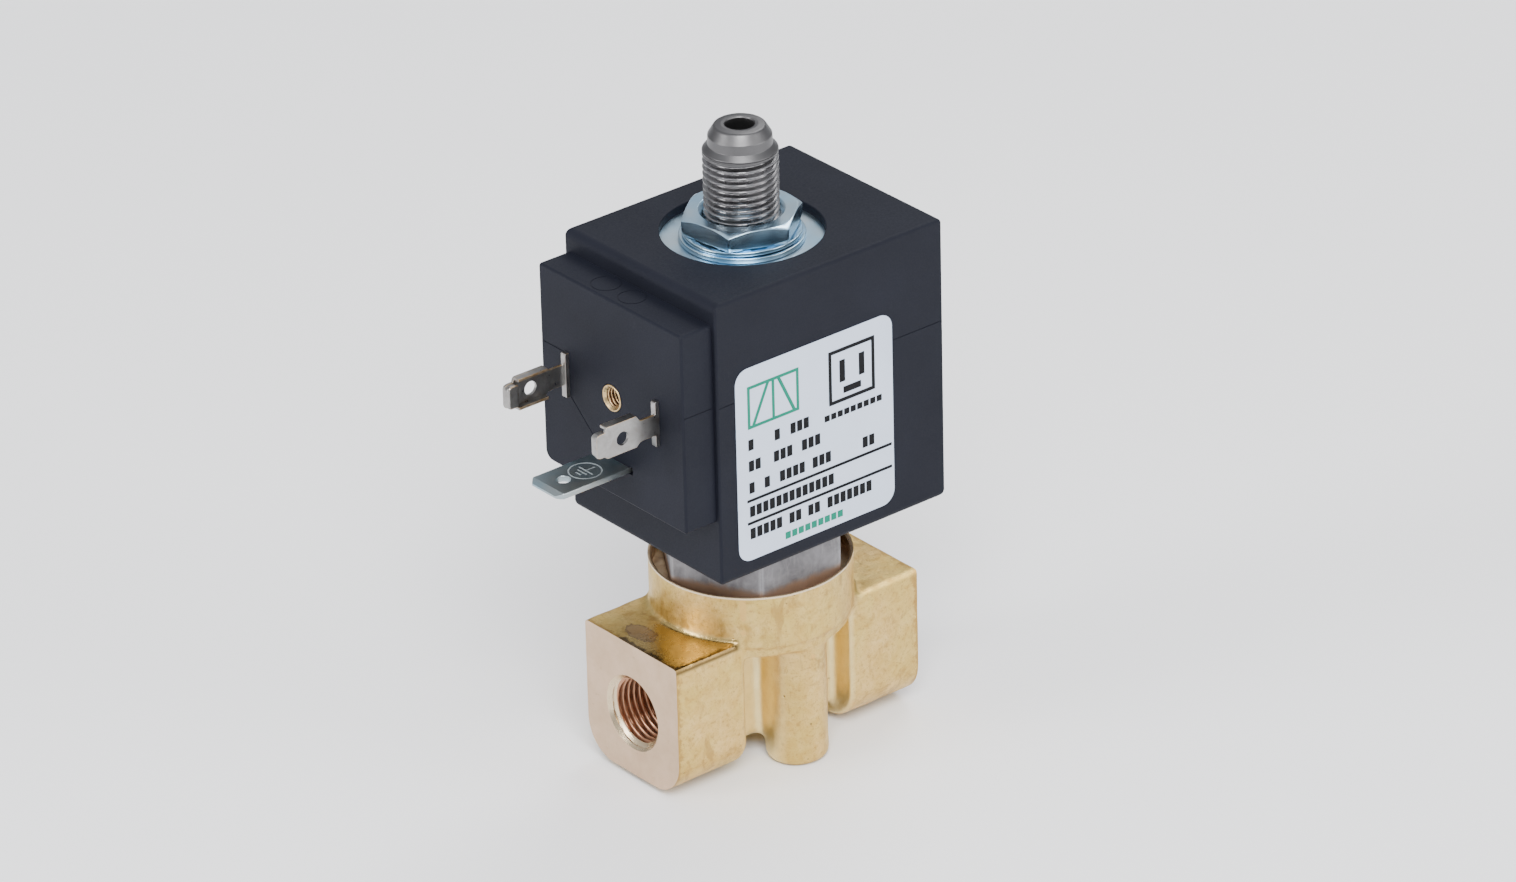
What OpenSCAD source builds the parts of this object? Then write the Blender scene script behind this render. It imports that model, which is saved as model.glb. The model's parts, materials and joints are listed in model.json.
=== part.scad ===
// Direct acting 3/2 solenoid valve, normally closed, with its coil.
// The tube's axis is Z, the two ports lie along X and the coil's plugs face -X.

/* [Body] */
// Length over the two port faces
body_len = 40.4; // [38:0.1:48]
// Width of the port blocks
block_w = 18.6; // [16:0.1:22]
// Length of each port block along the ports' axis
block_len = 11.5; // [10:0.1:14]
// Height of the blocks' top face above the feet
block_top = 19.9; // [18:0.1:24]
// Height of the blocks' bottom face above the feet
block_bottom = 0.8; // [0:0.1:3]
// Height of the ports' axis above the feet
port_z = 9.8; // [8:0.1:12]
// Diameter of the round collar
collar_d = 26.6; // [26.4:0.1:30]
// Height of the collar's rim above the feet
collar_top = 26.5; // [25:0.1:28]
// Diameter of the two mounting feet
foot_d = 8.2; // [7:0.1:10]
// Distance between the two mounting feet
foot_pitch = 17.2; // [15:0.1:20]

/* [Threads] */
// Minor diameter of the G 1/8 internal threads
port_minor_d = 8.566; // [8.5:0.001:8.848]
// Major diameter of the G 1/8 external thread
exhaust_major_d = 9.728; // [9.5:0.001:9.8]
// Depth of the port threads
port_depth = 8.5; // [6:0.1:9]
// Bore of the M4 mounting holes
foot_hole_d = 3.3; // [3.2:0.01:3.5]
// Bore of the M3 insert in the plug face
insert_hole_d = 2.5; // [2.4:0.01:2.6]

/* [Seat and plunger] */
// Diameter of the inlet orifice
orifice_d = 1.5; // [1:0.1:2.5]
// Height of the inlet seat above the feet
seat_z = 18.9; // [18:0.1:20]
// Lift of the plunger
plunger_lift = 1; // [0.6:0.1:1.4]
// Diameter of the plunger
plunger_d = 11.4; // [11:0.1:11.5]

/* [Tube] */
// Outer diameter of the armature tube
tube_d = 13; // [12.8:0.1:13.2]
// Width across the flats of the tube's hexagon
base_af = 22; // [20:0.1:22]
// Height of the fitting's tip above the feet
tip_z = 87.4; // [85:0.1:90]
// Diameter of the exhaust bore
exhaust_bore_d = 3.8; // [3:0.1:4]
// Width across the flats of the coil nut
nut_af = 14; // [13:0.1:15]

/* [Coil] */
// Coil's face on the plug side
coil_x0 = -16.9; // [-18:0.1:-16]
// Coil's face on the yoke side
coil_x1 = 20.4; // [19:0.1:22]
// Width of the coil
coil_w = 30; // [29:0.1:32]
// Height of the coil's bottom face above the feet
coil_bottom = 33; // [32.8:0.1:34]
// Height of the coil's top face above the feet
coil_top = 72.7; // [72:0.1:74]
// Depth of the raised plug face
pad_t = 4.9; // [4:0.1:6]
// Distance between the two power blades
blade_pitch = 18; // [17:0.1:19]
// Height of the plug's centre above the feet
plug_z = 56; // [54:0.1:57]

/* [Hidden] */
$fn = 64;

eps = 0.01;
half_len = body_len / 2;
web_w = 12;
collar_h = 7.6;
core_z = 17.6;
// The rim pocket takes the hexagon, and the bore below it takes the tube base's spigot.
pocket_d = 25.6;
pocket_z = 24.6;
spigot_d = 18.4;
ring_z = 19.2;
chamber_d = 14.8;
chamber_z = 17.6;
passage_d = 2.5;
outlet_x = 5.6;

seal_gap = 0.05;
spring_top = 29.3;
spring_r = 6.35;
spring_wire = 0.6;
flange_z = 19.5;
flange_t = 1.2;
seal_d = 4.8;

tube_wall = 0.45;
tube_bore = tube_d - 2 * tube_wall;
core_end = seat_z + 36.1;
core_nose = 0.6;
plunger_top = core_end - core_nose - plunger_lift - seal_gap;
thread_z0 = 70.9;
thread_z1 = 84;

plate_t = 3;
plate_w = 22;
plate_x0 = -11.4;
plate_x1 = 17.7;
recess_d = 21.1;
recess_t = 1.2;
plate_top = coil_top - recess_t;
plate_bottom = coil_bottom + recess_t;
winding_d = 25.2;
cavity_d = 26.1;
flange_rim = 1.1;
bobbin_bore = tube_d + 0.6;

pad_x = coil_x0 - pad_t;
pad_w = 28.5;
pad_z0 = 42;
pad_z1 = 69.9;
blade_out = 10.05;
blade_depth = 1.3;
sheet_t = 0.4;
blade_mid_x = -8.5;
blade_mid_l = 4.9;
blade_mid_z = 0.15;
blade_hole_x = -5.9;
blade_hole_d = 1.9;
blade_t = 0.8;
blade_w = 4.4;
blade_root_w = 6.3;
blade_neck_w = 2.9;
blade_tip_w = 3.4;
earth_out = 11.4;
earth_z = plug_z - 9.1;
earth_w = 6.3;
lead_d = 0.8;
insert_len = 5.9;
insert_d = 3.68;

label_x0 = -14;
label_w = 25.8;
label_z0 = 35.3;
label_h = 27.2;
label_t = 0.1;
washer_z = plate_top + seal_gap;
washer_t = 0.7;
nut_z0 = washer_z + 2 * washer_t;
nut_t = 2.6;
engaged_r = port_minor_d / 2 - 0.03;
free_z0 = nut_z0 + nut_t + 0.15;

// Rectangle with its lower two corners rounded
module block_outline(w, z0, z1, r) {
    translate([-w / 2, z0 + r]) square([w, z1 - z0 - r]);
    translate([-w / 2 + r, z0]) square([w - 2 * r, r + eps]);
    for (side = [-1, 1])
        translate([side * (w / 2 - r), z0 + r]) circle(r);
}

// Ring about Z
module ring(d_out, d_in, z0, z1) {
    translate([0, 0, z0]) difference() {
        cylinder(d = d_out, h = z1 - z0);
        translate([0, 0, -1]) cylinder(d = d_in, h = z1 - z0 + 2);
    }
}

// Threaded port along X, with its countersink, drilled from the face at x = side * half_len
module port_cut(side) {
    translate([side * half_len, 0, port_z]) rotate([0, -90 * side, 0]) {
        translate([0, 0, -1]) cylinder(d = port_minor_d, h = port_depth + 1);
        translate([0, 0, -0.2]) cylinder(d1 = port_minor_d + 2.34, d2 = port_minor_d, h = 1.17);
    }
}

// Helical wire about Z, with its ends laid flat by the pitch of the last turns
module helix(r, wire, z0, z1, turns, steps = 24, sides = 8) {
    n = turns * steps;
    rise = z1 - z0 - wire;
    points = [for (i = [0:n]) for (k = [0:sides - 1])
        let (a = 360 * i / steps,
             b = 360 * k / sides,
             f = (i / n - sin(360 * i / n) / (2 * PI) * 0.9),
             q = r + wire / 2 * cos(b))
        [q * cos(a), q * sin(a), z0 + wire / 2 + rise * f + wire / 2 * sin(b)]];
    skin = [for (i = [0:n - 1]) for (k = [0:sides - 1])
        let (j = (k + 1) % sides)
        [i * sides + k, (i + 1) * sides + k, (i + 1) * sides + j, i * sides + j]];
    first = [for (k = [0:sides - 1]) k];
    last = [for (k = [sides - 1:-1:0]) n * sides + k];
    polyhedron(points, concat([first], skin, [last]), convexity = 20);
}

module valve_body() {
    color("#c9b083") difference() {
        union() {
            for (side = [-1, 1])
                translate([side > 0 ? half_len - block_len : -half_len, 0, 0])
                    rotate([90, 0, 90])
                        linear_extrude(block_len)
                            block_outline(block_w, block_bottom, block_top, 5);
            translate([-half_len + block_len - eps, -web_w / 2, block_bottom + 2])
                cube([2 * (half_len - block_len + eps), web_w, block_top - block_bottom - 2]);
            for (side = [-1, 1])
                translate([0, side * foot_pitch / 2, 0]) cylinder(d = foot_d, h = core_z + 1);
            translate([0, 0, core_z]) cylinder(d = collar_d - 0.8, h = 2);
            translate([0, 0, collar_top - collar_h]) cylinder(d = collar_d, h = collar_h);
        }
        for (side = [-1, 1]) port_cut(side);
        // Inlet: along the port, then up through the seat
        translate([-half_len + port_depth - 1, 0, port_z]) rotate([0, 90, 0])
            cylinder(d = passage_d, h = half_len - port_depth + 1);
        translate([0, 0, port_z]) cylinder(d = orifice_d, h = seat_z - port_z + 1);
        // Outlet: up into the chamber beside the seat
        translate([outlet_x, 0, port_z]) rotate([0, 90, 0])
            cylinder(d = passage_d, h = half_len - port_depth + 1 - outlet_x);
        translate([outlet_x, 0, port_z]) cylinder(d = passage_d, h = chamber_z - port_z + 1);
        // Chamber round the seat, the seal's step, the spigot's bore and the hexagon's pocket
        ring(chamber_d, 4, chamber_z, seat_z);
        translate([0, 0, seat_z - eps]) cylinder(d = chamber_d, h = 3);
        translate([0, 0, ring_z]) cylinder(d = spigot_d, h = 8);
        translate([0, 0, pocket_z]) cylinder(d = pocket_d, h = 8);
        for (side = [-1, 1])
            translate([0, side * foot_pitch / 2, -1]) cylinder(d = foot_hole_d, h = 8);
    }
}

module tube_base() {
    color("#9ea0a5") difference() {
        union() {
            translate([0, 0, pocket_z + 0.02]) rotate([0, 0, -3])
                cylinder(d = base_af / cos(30), h = coil_bottom - pocket_z - 0.3, $fn = 6);
            translate([0, 0, ring_z + 1.5]) cylinder(d = spigot_d - 0.1, h = pocket_z - ring_z - 1);
        }
        translate([0, 0, 18]) cylinder(d = chamber_d - 0.4, h = spring_top - 18);
        translate([0, 0, 28]) cylinder(d = tube_d, h = 8);
    }
}

module body_o_ring() {
    color("#26262a") translate([0, 0, ring_z + 0.75]) rotate_extrude()
        translate([8.3, 0]) circle(d = 1.5);
}

module armature_tube() {
    color("#b4b6ba") ring(tube_d, tube_bore, spring_top, thread_z0 - 3);
}

module fixed_core() {
    color("#b9b9c0") difference() {
        union() {
            translate([0, 0, core_end]) cylinder(d = tube_bore, h = thread_z0 - 3 - core_end + eps);
            translate([0, 0, core_end - core_nose]) cylinder(d1 = 2.8, d2 = 4, h = core_nose + eps);
            translate([0, 0, thread_z0 - 3]) cylinder(d = tube_d, h = 3);
            // The length inside the washers and the nut is at the thread's root
            rotate_extrude() polygon([[0, thread_z0 - 1], [engaged_r, thread_z0 - 1],
                [engaged_r, free_z0], [exhaust_major_d / 2, free_z0],
                [exhaust_major_d / 2, thread_z1], [4.15, thread_z1 + 0.8], [4.15, tip_z - 1.4],
                [3.2, tip_z], [0, tip_z]]);
        }
        translate([0, 0, core_end + 5]) cylinder(d = exhaust_bore_d, h = 40);
        translate([0, 0, core_end - 2]) cylinder(d = 1.6, h = 10);
        ring(10.4, 8.4, core_end - 1, core_end + 1.3);
    }
}

module shading_ring() {
    color("#b87349") ring(10.38, 8.42, core_end, core_end + 1.28);
}

module flat_washer() {
    color("#a9bcc8") ring(16.2, 10, washer_z, washer_z + washer_t);
}

module wave_washer() {
    color("#9fb2bf") ring(15.4, 10, washer_z + washer_t, washer_z + 2 * washer_t);
}

module coil_nut() {
    color("#a3b5c0") difference() {
        intersection() {
            translate([0, 0, nut_z0]) rotate([0, 0, -22])
                cylinder(d = nut_af / cos(30), h = nut_t, $fn = 6);
            translate([0, 0, nut_z0])
                cylinder(r1 = nut_af / 2 + nut_t / tan(30), r2 = nut_af / 2 - 0.2, h = nut_t);
        }
        translate([0, 0, nut_z0 - 1]) cylinder(d = port_minor_d, h = nut_t + 2);
    }
}

module plunger() {
    color("#8f9196") difference() {
        union() {
            translate([0, 0, flange_z]) cylinder(d = plunger_d, h = plunger_top - flange_z);
            translate([0, 0, flange_z]) cylinder(d = chamber_d - 1, h = flange_t);
        }
        translate([0, 0, flange_z - 1]) cylinder(d = seal_d + 0.06, h = 3.4);
        translate([0, 0, plunger_top - 5.4]) cylinder(d = seal_d + 0.06, h = 7);
    }
}

module inlet_seal() {
    color("#2b2b2b") translate([0, 0, seat_z + seal_gap])
        cylinder(d = seal_d, h = flange_z + 2.4 - seat_z - seal_gap);
}

module exhaust_seal() {
    color("#2b2b2b") translate([0, 0, plunger_top - 2.2]) cylinder(d = seal_d, h = 2.2);
}

module seal_spring() {
    color("#b5b5b5") helix(1.8, 0.4, plunger_top - 5.4, plunger_top - 2.2, 4);
}

module return_spring() {
    color("#b5b5b5") helix(spring_r, spring_wire, flange_z + flange_t, spring_top, 6);
}

// Space that a blade's buried root takes in the housing
module blade_root(y) {
    translate([pad_x - eps, y - blade_t / 2, plug_z - blade_root_w / 2])
        cube([pad_t - 0.5, blade_t, blade_root_w]);
}

// Power blade folded from thin sheet: a T-shaped root, a narrow neck, a channel-shaped middle
// with a hole, open towards the plug's centre, and a slim closed tip
module power_blade(side) {
    y_root = blade_pitch / 2;
    y_out = y_root + 0.5;
    mid_z0 = plug_z + blade_mid_z - blade_w / 2;
    mirror([0, side < 0 ? 1 : 0, 0]) difference() {
        union() {
            blade_root(y_root);
            translate([pad_x - 0.6, y_root - blade_t / 2, plug_z - blade_root_w / 2])
                cube([0.6, 0.95, blade_root_w]);
            translate([pad_x - blade_out, y_out - sheet_t, plug_z - blade_neck_w / 2])
                cube([blade_out, sheet_t, blade_neck_w]);
            translate([pad_x + blade_mid_x, y_out - blade_depth, mid_z0])
                cube([blade_mid_l, blade_depth, blade_w]);
            translate([pad_x - blade_out, y_out - blade_depth, plug_z - blade_tip_w / 2])
                cube([blade_out + blade_mid_x, blade_depth - 0.1, blade_tip_w]);
        }
        translate([pad_x + blade_mid_x - 0.01, y_out - blade_depth - 1, mid_z0 + sheet_t])
            cube([blade_mid_l + 0.02, blade_depth + 1 - sheet_t, blade_w - 2 * sheet_t]);
        translate([pad_x + blade_hole_x, y_out + 1, plug_z]) rotate([90, 0, 0])
            cylinder(d = blade_hole_d, h = 3);
    }
}

// Earth blade: a flat strip whose outer corners are cut off
module earth_blade() {
    tip = pad_x - earth_out;
    half = earth_w / 2;
    translate([0, 0, earth_z - blade_t / 2]) linear_extrude(blade_t)
        polygon([[tip, -half + 0.8], [tip + 0.8, -half], [pad_x, -half], [pad_x, half],
            [tip + 0.8, half], [tip, half - 0.8]]);
}

// Buried end of the earth blade, bent down to the yoke's lower plate
module earth_root() {
    strap_x = coil_x0 + 1.4;
    strap_z = plate_bottom + 2.2;
    translate([pad_x - eps, -earth_w / 2, earth_z - blade_t / 2])
        cube([strap_x + blade_t - pad_x, earth_w, blade_t]);
    translate([strap_x, -2, strap_z]) cube([blade_t, 4, earth_z - strap_z]);
    translate([strap_x, -2, strap_z]) cube([plate_x0 - strap_x, 4, blade_t]);
}

// Straight wire soldered to the inner side of a blade's root, ending at the winding
module lead(y, d = lead_d) {
    y_lead = y - sign(y) * (blade_t + lead_d + 0.02) / 2;
    y_near = abs(y_lead) - lead_d / 2;
    x_end = -sqrt(pow(winding_d / 2, 2) - pow(y_near, 2)) - 0.02;
    x_start = coil_x0 - 1.6;
    translate([x_start, y_lead, plug_z]) rotate([0, 90, 0]) cylinder(d = d, h = x_end - x_start);
}

module coil_housing() {
    color("#31343d") difference() {
        union() {
            translate([coil_x0, -coil_w / 2, coil_bottom])
                cube([coil_x1 - coil_x0, coil_w, coil_top - coil_bottom]);
            translate([pad_x, -pad_w / 2, pad_z0]) cube([pad_t + 1, pad_w, pad_z1 - pad_z0]);
        }
        translate([0, 0, plate_top]) cylinder(d = recess_d, h = recess_t + 1);
        translate([0, 0, coil_bottom - 1]) cylinder(d = recess_d, h = recess_t + 1);
        translate([plate_x0, -plate_w / 2, plate_bottom])
            cube([plate_x1 - plate_x0, plate_w, plate_t]);
        translate([plate_x0, -plate_w / 2, plate_top - plate_t])
            cube([plate_x1 - plate_x0, plate_w, plate_t]);
        translate([plate_x1 - plate_t, -plate_w / 2, plate_bottom])
            cube([plate_t, plate_w, plate_top - plate_bottom]);
        translate([0, 0, plate_bottom + plate_t - eps])
            cylinder(d = cavity_d, h = plate_top - plate_bottom - 2 * plate_t + 2 * eps);
        for (side = [-1, 1]) {
            blade_root(side * blade_pitch / 2);
            lead(side * blade_pitch / 2, lead_d + 0.1);
        }
        earth_root();
        translate([pad_x - 1, 0, plug_z]) rotate([0, 90, 0])
            cylinder(d = insert_d + 0.02, h = insert_len + 0.92);
    }
}

module yoke() {
    color("#8f9daa") difference() {
        union() {
            translate([plate_x0, -plate_w / 2, plate_bottom])
                cube([plate_x1 - plate_x0, plate_w, plate_t]);
            translate([plate_x0, -plate_w / 2, plate_top - plate_t])
                cube([plate_x1 - plate_x0, plate_w, plate_t]);
            translate([plate_x1 - plate_t, -plate_w / 2, plate_bottom])
                cube([plate_t, plate_w, plate_top - plate_bottom]);
        }
        translate([0, 0, coil_bottom]) cylinder(d = bobbin_bore, h = coil_top - coil_bottom);
        // Where the earth strap is riveted on
        translate([plate_x0 - 1, -2, plate_bottom + 2.2]) cube([1, 4, blade_t]);
    }
}

module bobbin() {
    z0 = plate_bottom + plate_t;
    z1 = plate_top - plate_t;
    color("#3c3f47") {
        ring(bobbin_bore + 2, bobbin_bore, z0, z1);
        ring(cavity_d - 0.1, bobbin_bore, z0, z0 + flange_rim);
        ring(cavity_d - 0.1, bobbin_bore, z1 - flange_rim, z1);
    }
}

module winding() {
    color("#b5653a") ring(winding_d, bobbin_bore + 2, plate_bottom + plate_t + flange_rim,
        plate_top - plate_t - flange_rim);
}

module line_terminal() {
    color("#a9a69f") power_blade(1);
}

module neutral_terminal() {
    color("#a9a69f") power_blade(-1);
}

module earth_terminal() {
    color("#8b9aa0") {
        difference() {
            earth_blade();
            translate([pad_x - earth_out + 3.2, 0, earth_z - 1]) cylinder(d = 1.9, h = 2);
        }
        earth_root();
    }
}

module screw_insert() {
    color("#c8a062") translate([pad_x - 0.1, 0, plug_z]) rotate([0, 90, 0]) difference() {
        cylinder(d = insert_d, h = insert_len);
        translate([0, 0, -1]) cylinder(d = insert_hole_d, h = insert_len + 0.3);
    }
}

module line_lead() {
    color("#b5653a") lead(blade_pitch / 2);
}

module neutral_lead() {
    color("#b5653a") lead(-blade_pitch / 2);
}

module label_plate() {
    color("#cfd6e0") translate([label_x0, -coil_w / 2 - label_t, label_z0])
        cube([label_w, label_t, label_h]);
}

valve_body();
tube_base();
body_o_ring();
armature_tube();
fixed_core();
shading_ring();
flat_washer();
wave_washer();
coil_nut();
plunger();
inlet_seal();
exhaust_seal();
seal_spring();
return_spring();
coil_housing();
bobbin();
winding();
yoke();
line_terminal();
neutral_terminal();
earth_terminal();
screw_insert();
line_lead();
neutral_lead();
label_plate();
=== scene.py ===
import json
import math
from itertools import product

import bmesh
import bpy
import numpy as np
from mathutils import Matrix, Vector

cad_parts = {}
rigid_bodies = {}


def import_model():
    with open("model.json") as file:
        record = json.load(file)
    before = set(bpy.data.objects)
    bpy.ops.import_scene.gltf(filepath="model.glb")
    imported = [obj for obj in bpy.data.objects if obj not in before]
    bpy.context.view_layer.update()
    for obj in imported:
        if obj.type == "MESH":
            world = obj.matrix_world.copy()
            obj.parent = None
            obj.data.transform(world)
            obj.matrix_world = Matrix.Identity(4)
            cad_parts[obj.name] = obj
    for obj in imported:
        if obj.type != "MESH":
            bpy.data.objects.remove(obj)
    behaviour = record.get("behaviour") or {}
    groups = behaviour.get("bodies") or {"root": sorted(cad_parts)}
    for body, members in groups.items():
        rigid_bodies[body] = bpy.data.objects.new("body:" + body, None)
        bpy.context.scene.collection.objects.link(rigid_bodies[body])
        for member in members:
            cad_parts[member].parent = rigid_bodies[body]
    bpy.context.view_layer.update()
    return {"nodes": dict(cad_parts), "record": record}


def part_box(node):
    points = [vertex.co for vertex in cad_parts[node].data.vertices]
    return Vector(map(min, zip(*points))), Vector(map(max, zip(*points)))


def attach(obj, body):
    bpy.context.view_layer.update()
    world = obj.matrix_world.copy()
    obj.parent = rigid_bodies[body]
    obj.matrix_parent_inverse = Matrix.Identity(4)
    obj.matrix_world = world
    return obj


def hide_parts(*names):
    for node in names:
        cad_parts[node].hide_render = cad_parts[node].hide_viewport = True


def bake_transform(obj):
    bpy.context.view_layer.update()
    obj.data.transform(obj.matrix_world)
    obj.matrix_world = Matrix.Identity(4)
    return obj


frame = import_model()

MM = 0.001
TAU = 2 * math.pi


# ---------------------------------------------------------------- frame

def box_mm(node):
    """Lowest and highest corner of a CAD node, in millimetres."""
    low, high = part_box(node)
    return np.array(low) / MM, np.array(high) / MM


MOUNTS = {m["name"]: m for m in frame["record"]["mounts"]}
FEET = MOUNTS["mounting_holes"]["dims"]
BODY_HI = box_mm("valve_body")[1]
HOUSING_LO, HOUSING_HI = box_mm("coil_housing")
PORT_Z = MOUNTS["inlet_port"]["pos_m"][2] / MM
PLUG_Z = MOUNTS["plug_insert"]["pos_m"][2] / MM
PITCH = 0.907
THREAD_MINOR = MOUNTS["inlet_port"]["dims"]["r_mm"]
THREAD_MAJOR = MOUNTS["exhaust_thread"]["dims"]["r_mm"]
HALF_LEN = BODY_HI[0]
COLLAR_R = BODY_HI[1]
RIM = BODY_HI[2]
FOOT_Y = FEET["spacing_y_mm"] / 2
PAD_X = HOUSING_LO[0]
COIL_X0 = PAD_X + 4.9
PAD_HALF = 14.25
PAD_Z = (42.0, 69.9)


# ---------------------------------------------------------------- meshes

def add_to_scene(name, data):
    obj = bpy.data.objects.new(name, data)
    bpy.context.scene.collection.objects.link(obj)
    return obj


def discard(obj):
    mesh = obj.data
    bpy.data.objects.remove(obj)
    bpy.data.meshes.remove(mesh)


def shade(obj, sharp=35):
    obj.data.shade_smooth()
    obj.data.set_sharp_from_angle(angle=math.radians(sharp))


def new_object(name, verts, faces, sharp=35):
    """Object from millimetre vertices, shaded smooth with edges over the sharp angle kept."""
    mesh = bpy.data.meshes.new(name)
    mesh.from_pydata((np.asarray(verts, float) * MM).tolist(), [], [list(f) for f in faces])
    mesh.validate()
    obj = add_to_scene(name, mesh)
    shade(obj, sharp)
    return obj


def moved(obj, x=0, y=0, z=0, turn=Matrix.Identity(4)):
    """Turn a mesh about the origin, then move it by millimetres."""
    obj.data.transform(Matrix.Translation((x * MM, y * MM, z * MM)) @ turn)
    return obj


def face_outwards(obj):
    work = bmesh.new()
    work.from_mesh(obj.data)
    bmesh.ops.recalc_face_normals(work, faces=work.faces)
    work.to_mesh(obj.data)
    work.free()


def bake_modifiers(obj, sharp=35):
    """Replace the object's mesh by what its modifiers make of it."""
    graph = bpy.context.evaluated_depsgraph_get()
    mesh = bpy.data.meshes.new_from_object(obj.evaluated_get(graph))
    old = obj.data
    obj.modifiers.clear()
    obj.data = mesh
    mesh.name = obj.name
    bpy.data.meshes.remove(old)
    shade(obj, sharp)


def round_edges(obj, width, segments, method="ANGLE"):
    modifier = obj.modifiers.new("bevel", "BEVEL")
    modifier.width = width * MM
    modifier.segments = segments
    modifier.limit_method = method
    modifier.angle_limit = math.radians(40)
    bake_modifiers(obj)


def boolean(obj, tools, operation="DIFFERENCE", sharp=35):
    """Apply each tool in turn, and remove it."""
    for tool in tools:
        modifier = obj.modifiers.new("cut", "BOOLEAN")
        modifier.operation = operation
        modifier.solver = "MANIFOLD"
        modifier.object = tool
        bake_modifiers(obj, sharp)
        discard(tool)
    return obj


def face_values(mesh):
    """Centre, normal and area of each face, in millimetres."""
    out = []
    for key, width, unit in (("center", 3, MM), ("normal", 3, 1), ("area", 1, MM ** 2)):
        values = np.empty(len(mesh.polygons) * width)
        mesh.polygons.foreach_get(key, values)
        out.append(values.reshape(-1, width) / unit)
    return out


def steady_normals(obj, sharp):
    """Corner normals weighted by the area of each whole plane, so that flat faces look flat."""
    mesh = obj.data
    centre, normal, area = face_values(mesh)
    total = np.empty(len(mesh.polygons), np.int32)
    vertex = np.empty(len(mesh.loops), np.int32)
    mesh.polygons.foreach_get("loop_total", total)
    mesh.loops.foreach_get("vertex_index", vertex)
    # Faces are one plane if their normals and levels fall in the same narrow steps
    level = (normal * centre).sum(1)
    plane = np.round(np.column_stack([normal * 3000, level * 300]) + 0.37).astype(np.int64)
    group = np.unique(plane, axis=0, return_inverse=True)[1].ravel()
    weight = np.bincount(group, area.ravel())[group]
    face = np.repeat(np.arange(len(total)), total)
    sorted_face = face[np.argsort(vertex, kind="stable")]
    count = np.bincount(vertex, minlength=len(mesh.vertices))
    first = np.cumsum(count) - count
    out = np.zeros((len(vertex), 3))
    limit = math.cos(math.radians(sharp))
    for step in range(count.max()):
        there = step < count[vertex]
        other = sorted_face[np.where(there, first[vertex] + step, 0)]
        near = there & ((normal[face] * normal[other]).sum(1) > limit)
        out += np.where(near, weight[other], 0)[:, None] * normal[other]
    out /= np.maximum(np.linalg.norm(out, axis=1), 1e-12)[:, None]
    mesh.normals_split_custom_set(out.tolist())


def cuboid(name, low, high, bevel=0.0, segments=3):
    """Box with rounded edges."""
    verts = list(product(*zip(low, high)))
    faces = [(0, 1, 3, 2), (4, 6, 7, 5), (0, 4, 5, 1), (2, 3, 7, 6), (0, 2, 6, 4), (1, 5, 7, 3)]
    obj = new_object(name, verts, faces)
    if bevel:
        round_edges(obj, bevel, segments, "NONE")
    return obj


def extrude(name, outline, depth, axis="z", bevel=0.0, segments=2):
    """Prism from a closed outline of (u, v) points, from depth[0] to depth[1] along an axis."""
    place = {"z": lambda u, v, w: (u, v, w), "y": lambda u, v, w: (u, w, v),
             "x": lambda u, v, w: (w, u, v)}[axis]
    count = len(outline)
    verts = [place(u, v, w) for w in depth for u, v in outline]
    faces = [list(range(count))[::-1], list(range(count, 2 * count))]
    faces += [(i, (i + 1) % count, count + (i + 1) % count, count + i) for i in range(count)]
    obj = new_object(name, verts, faces)
    face_outwards(obj)
    if bevel:
        round_edges(obj, bevel, segments)
    return obj


def arc(centre, radius, start, end, steps=6):
    """Points on an arc, in degrees."""
    angles = np.radians(np.linspace(start, end, steps + 1))
    return [(centre[0] + radius * math.cos(a), centre[1] + radius * math.sin(a)) for a in angles]


def rounded_path(points, steps=3):
    """Path through (r, z, radius) corners, each rounded by an arc of its radius."""
    out = []
    for i, (r, z, radius) in enumerate(points):
        here = np.array([r, z], float)
        if radius <= 0:
            out.append(tuple(here))
            continue
        before, after = (np.array(points[k % len(points)][:2], float) - here for k in (i - 1, i + 1))
        before /= np.linalg.norm(before)
        after /= np.linalg.norm(after)
        half = math.acos(max(-1.0, min(1.0, float(before @ after)))) / 2
        reach = radius / math.tan(half)
        centre = here + (before + after) / np.linalg.norm(before + after) * radius / math.sin(half)
        start, end = (math.atan2(*(here + way * reach - centre)[::-1]) for way in (before, after))
        sweep = (end - start + math.pi) % TAU - math.pi
        out += arc(centre, radius, math.degrees(start), math.degrees(start + sweep), steps)
    return out


def even_angles(count):
    return np.arange(count) * TAU / count


def revolve(name, rings, angles, closed=True, sharp=35):
    """Solid about Z from rings of (radius, height); either may vary with the angle.
    The angles are a list, or the number of even ones."""
    if isinstance(angles, int):
        angles = even_angles(angles)
    count = len(angles)
    total = len(rings)
    verts = []
    for radius, height in rings:
        height = np.broadcast_to(height, count)
        verts.append(np.stack([radius * np.cos(angles), radius * np.sin(angles), height], 1))
    faces = []
    for i in range(total if closed else total - 1):
        a = i * count
        b = (i + 1) % total * count
        faces += [(a + k, a + (k + 1) % count, b + (k + 1) % count, b + k) for k in range(count)]
    if not closed:
        faces.append(list(range(count))[::-1])
        faces.append(list(range((total - 1) * count, total * count)))
    obj = new_object(name, np.concatenate(verts), faces, sharp)
    face_outwards(obj)
    shade(obj, sharp)
    return obj


def thread_wave(height, angles, pitch):
    """Thread form from 0 at the root to 1 at the crest, with rounded crests and roots."""
    phase = (height / pitch - angles / TAU) % 1.0
    ramp = 1 - np.abs(2 * phase - 1)
    ramp = np.clip((ramp - 0.5) * 1.3 + 0.5, 0, 1)
    return ramp * ramp * (3 - 2 * ramp) * 0.45 + ramp * 0.55


def place_along_x(obj, side, face_x, centre_z):
    """Turn a tool drawn with depth along +Z so that it goes into the face at face_x."""
    return moved(obj, face_x, 0, centre_z, Matrix.Rotation(math.radians(-90 * side), 4, "Y"))


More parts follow.
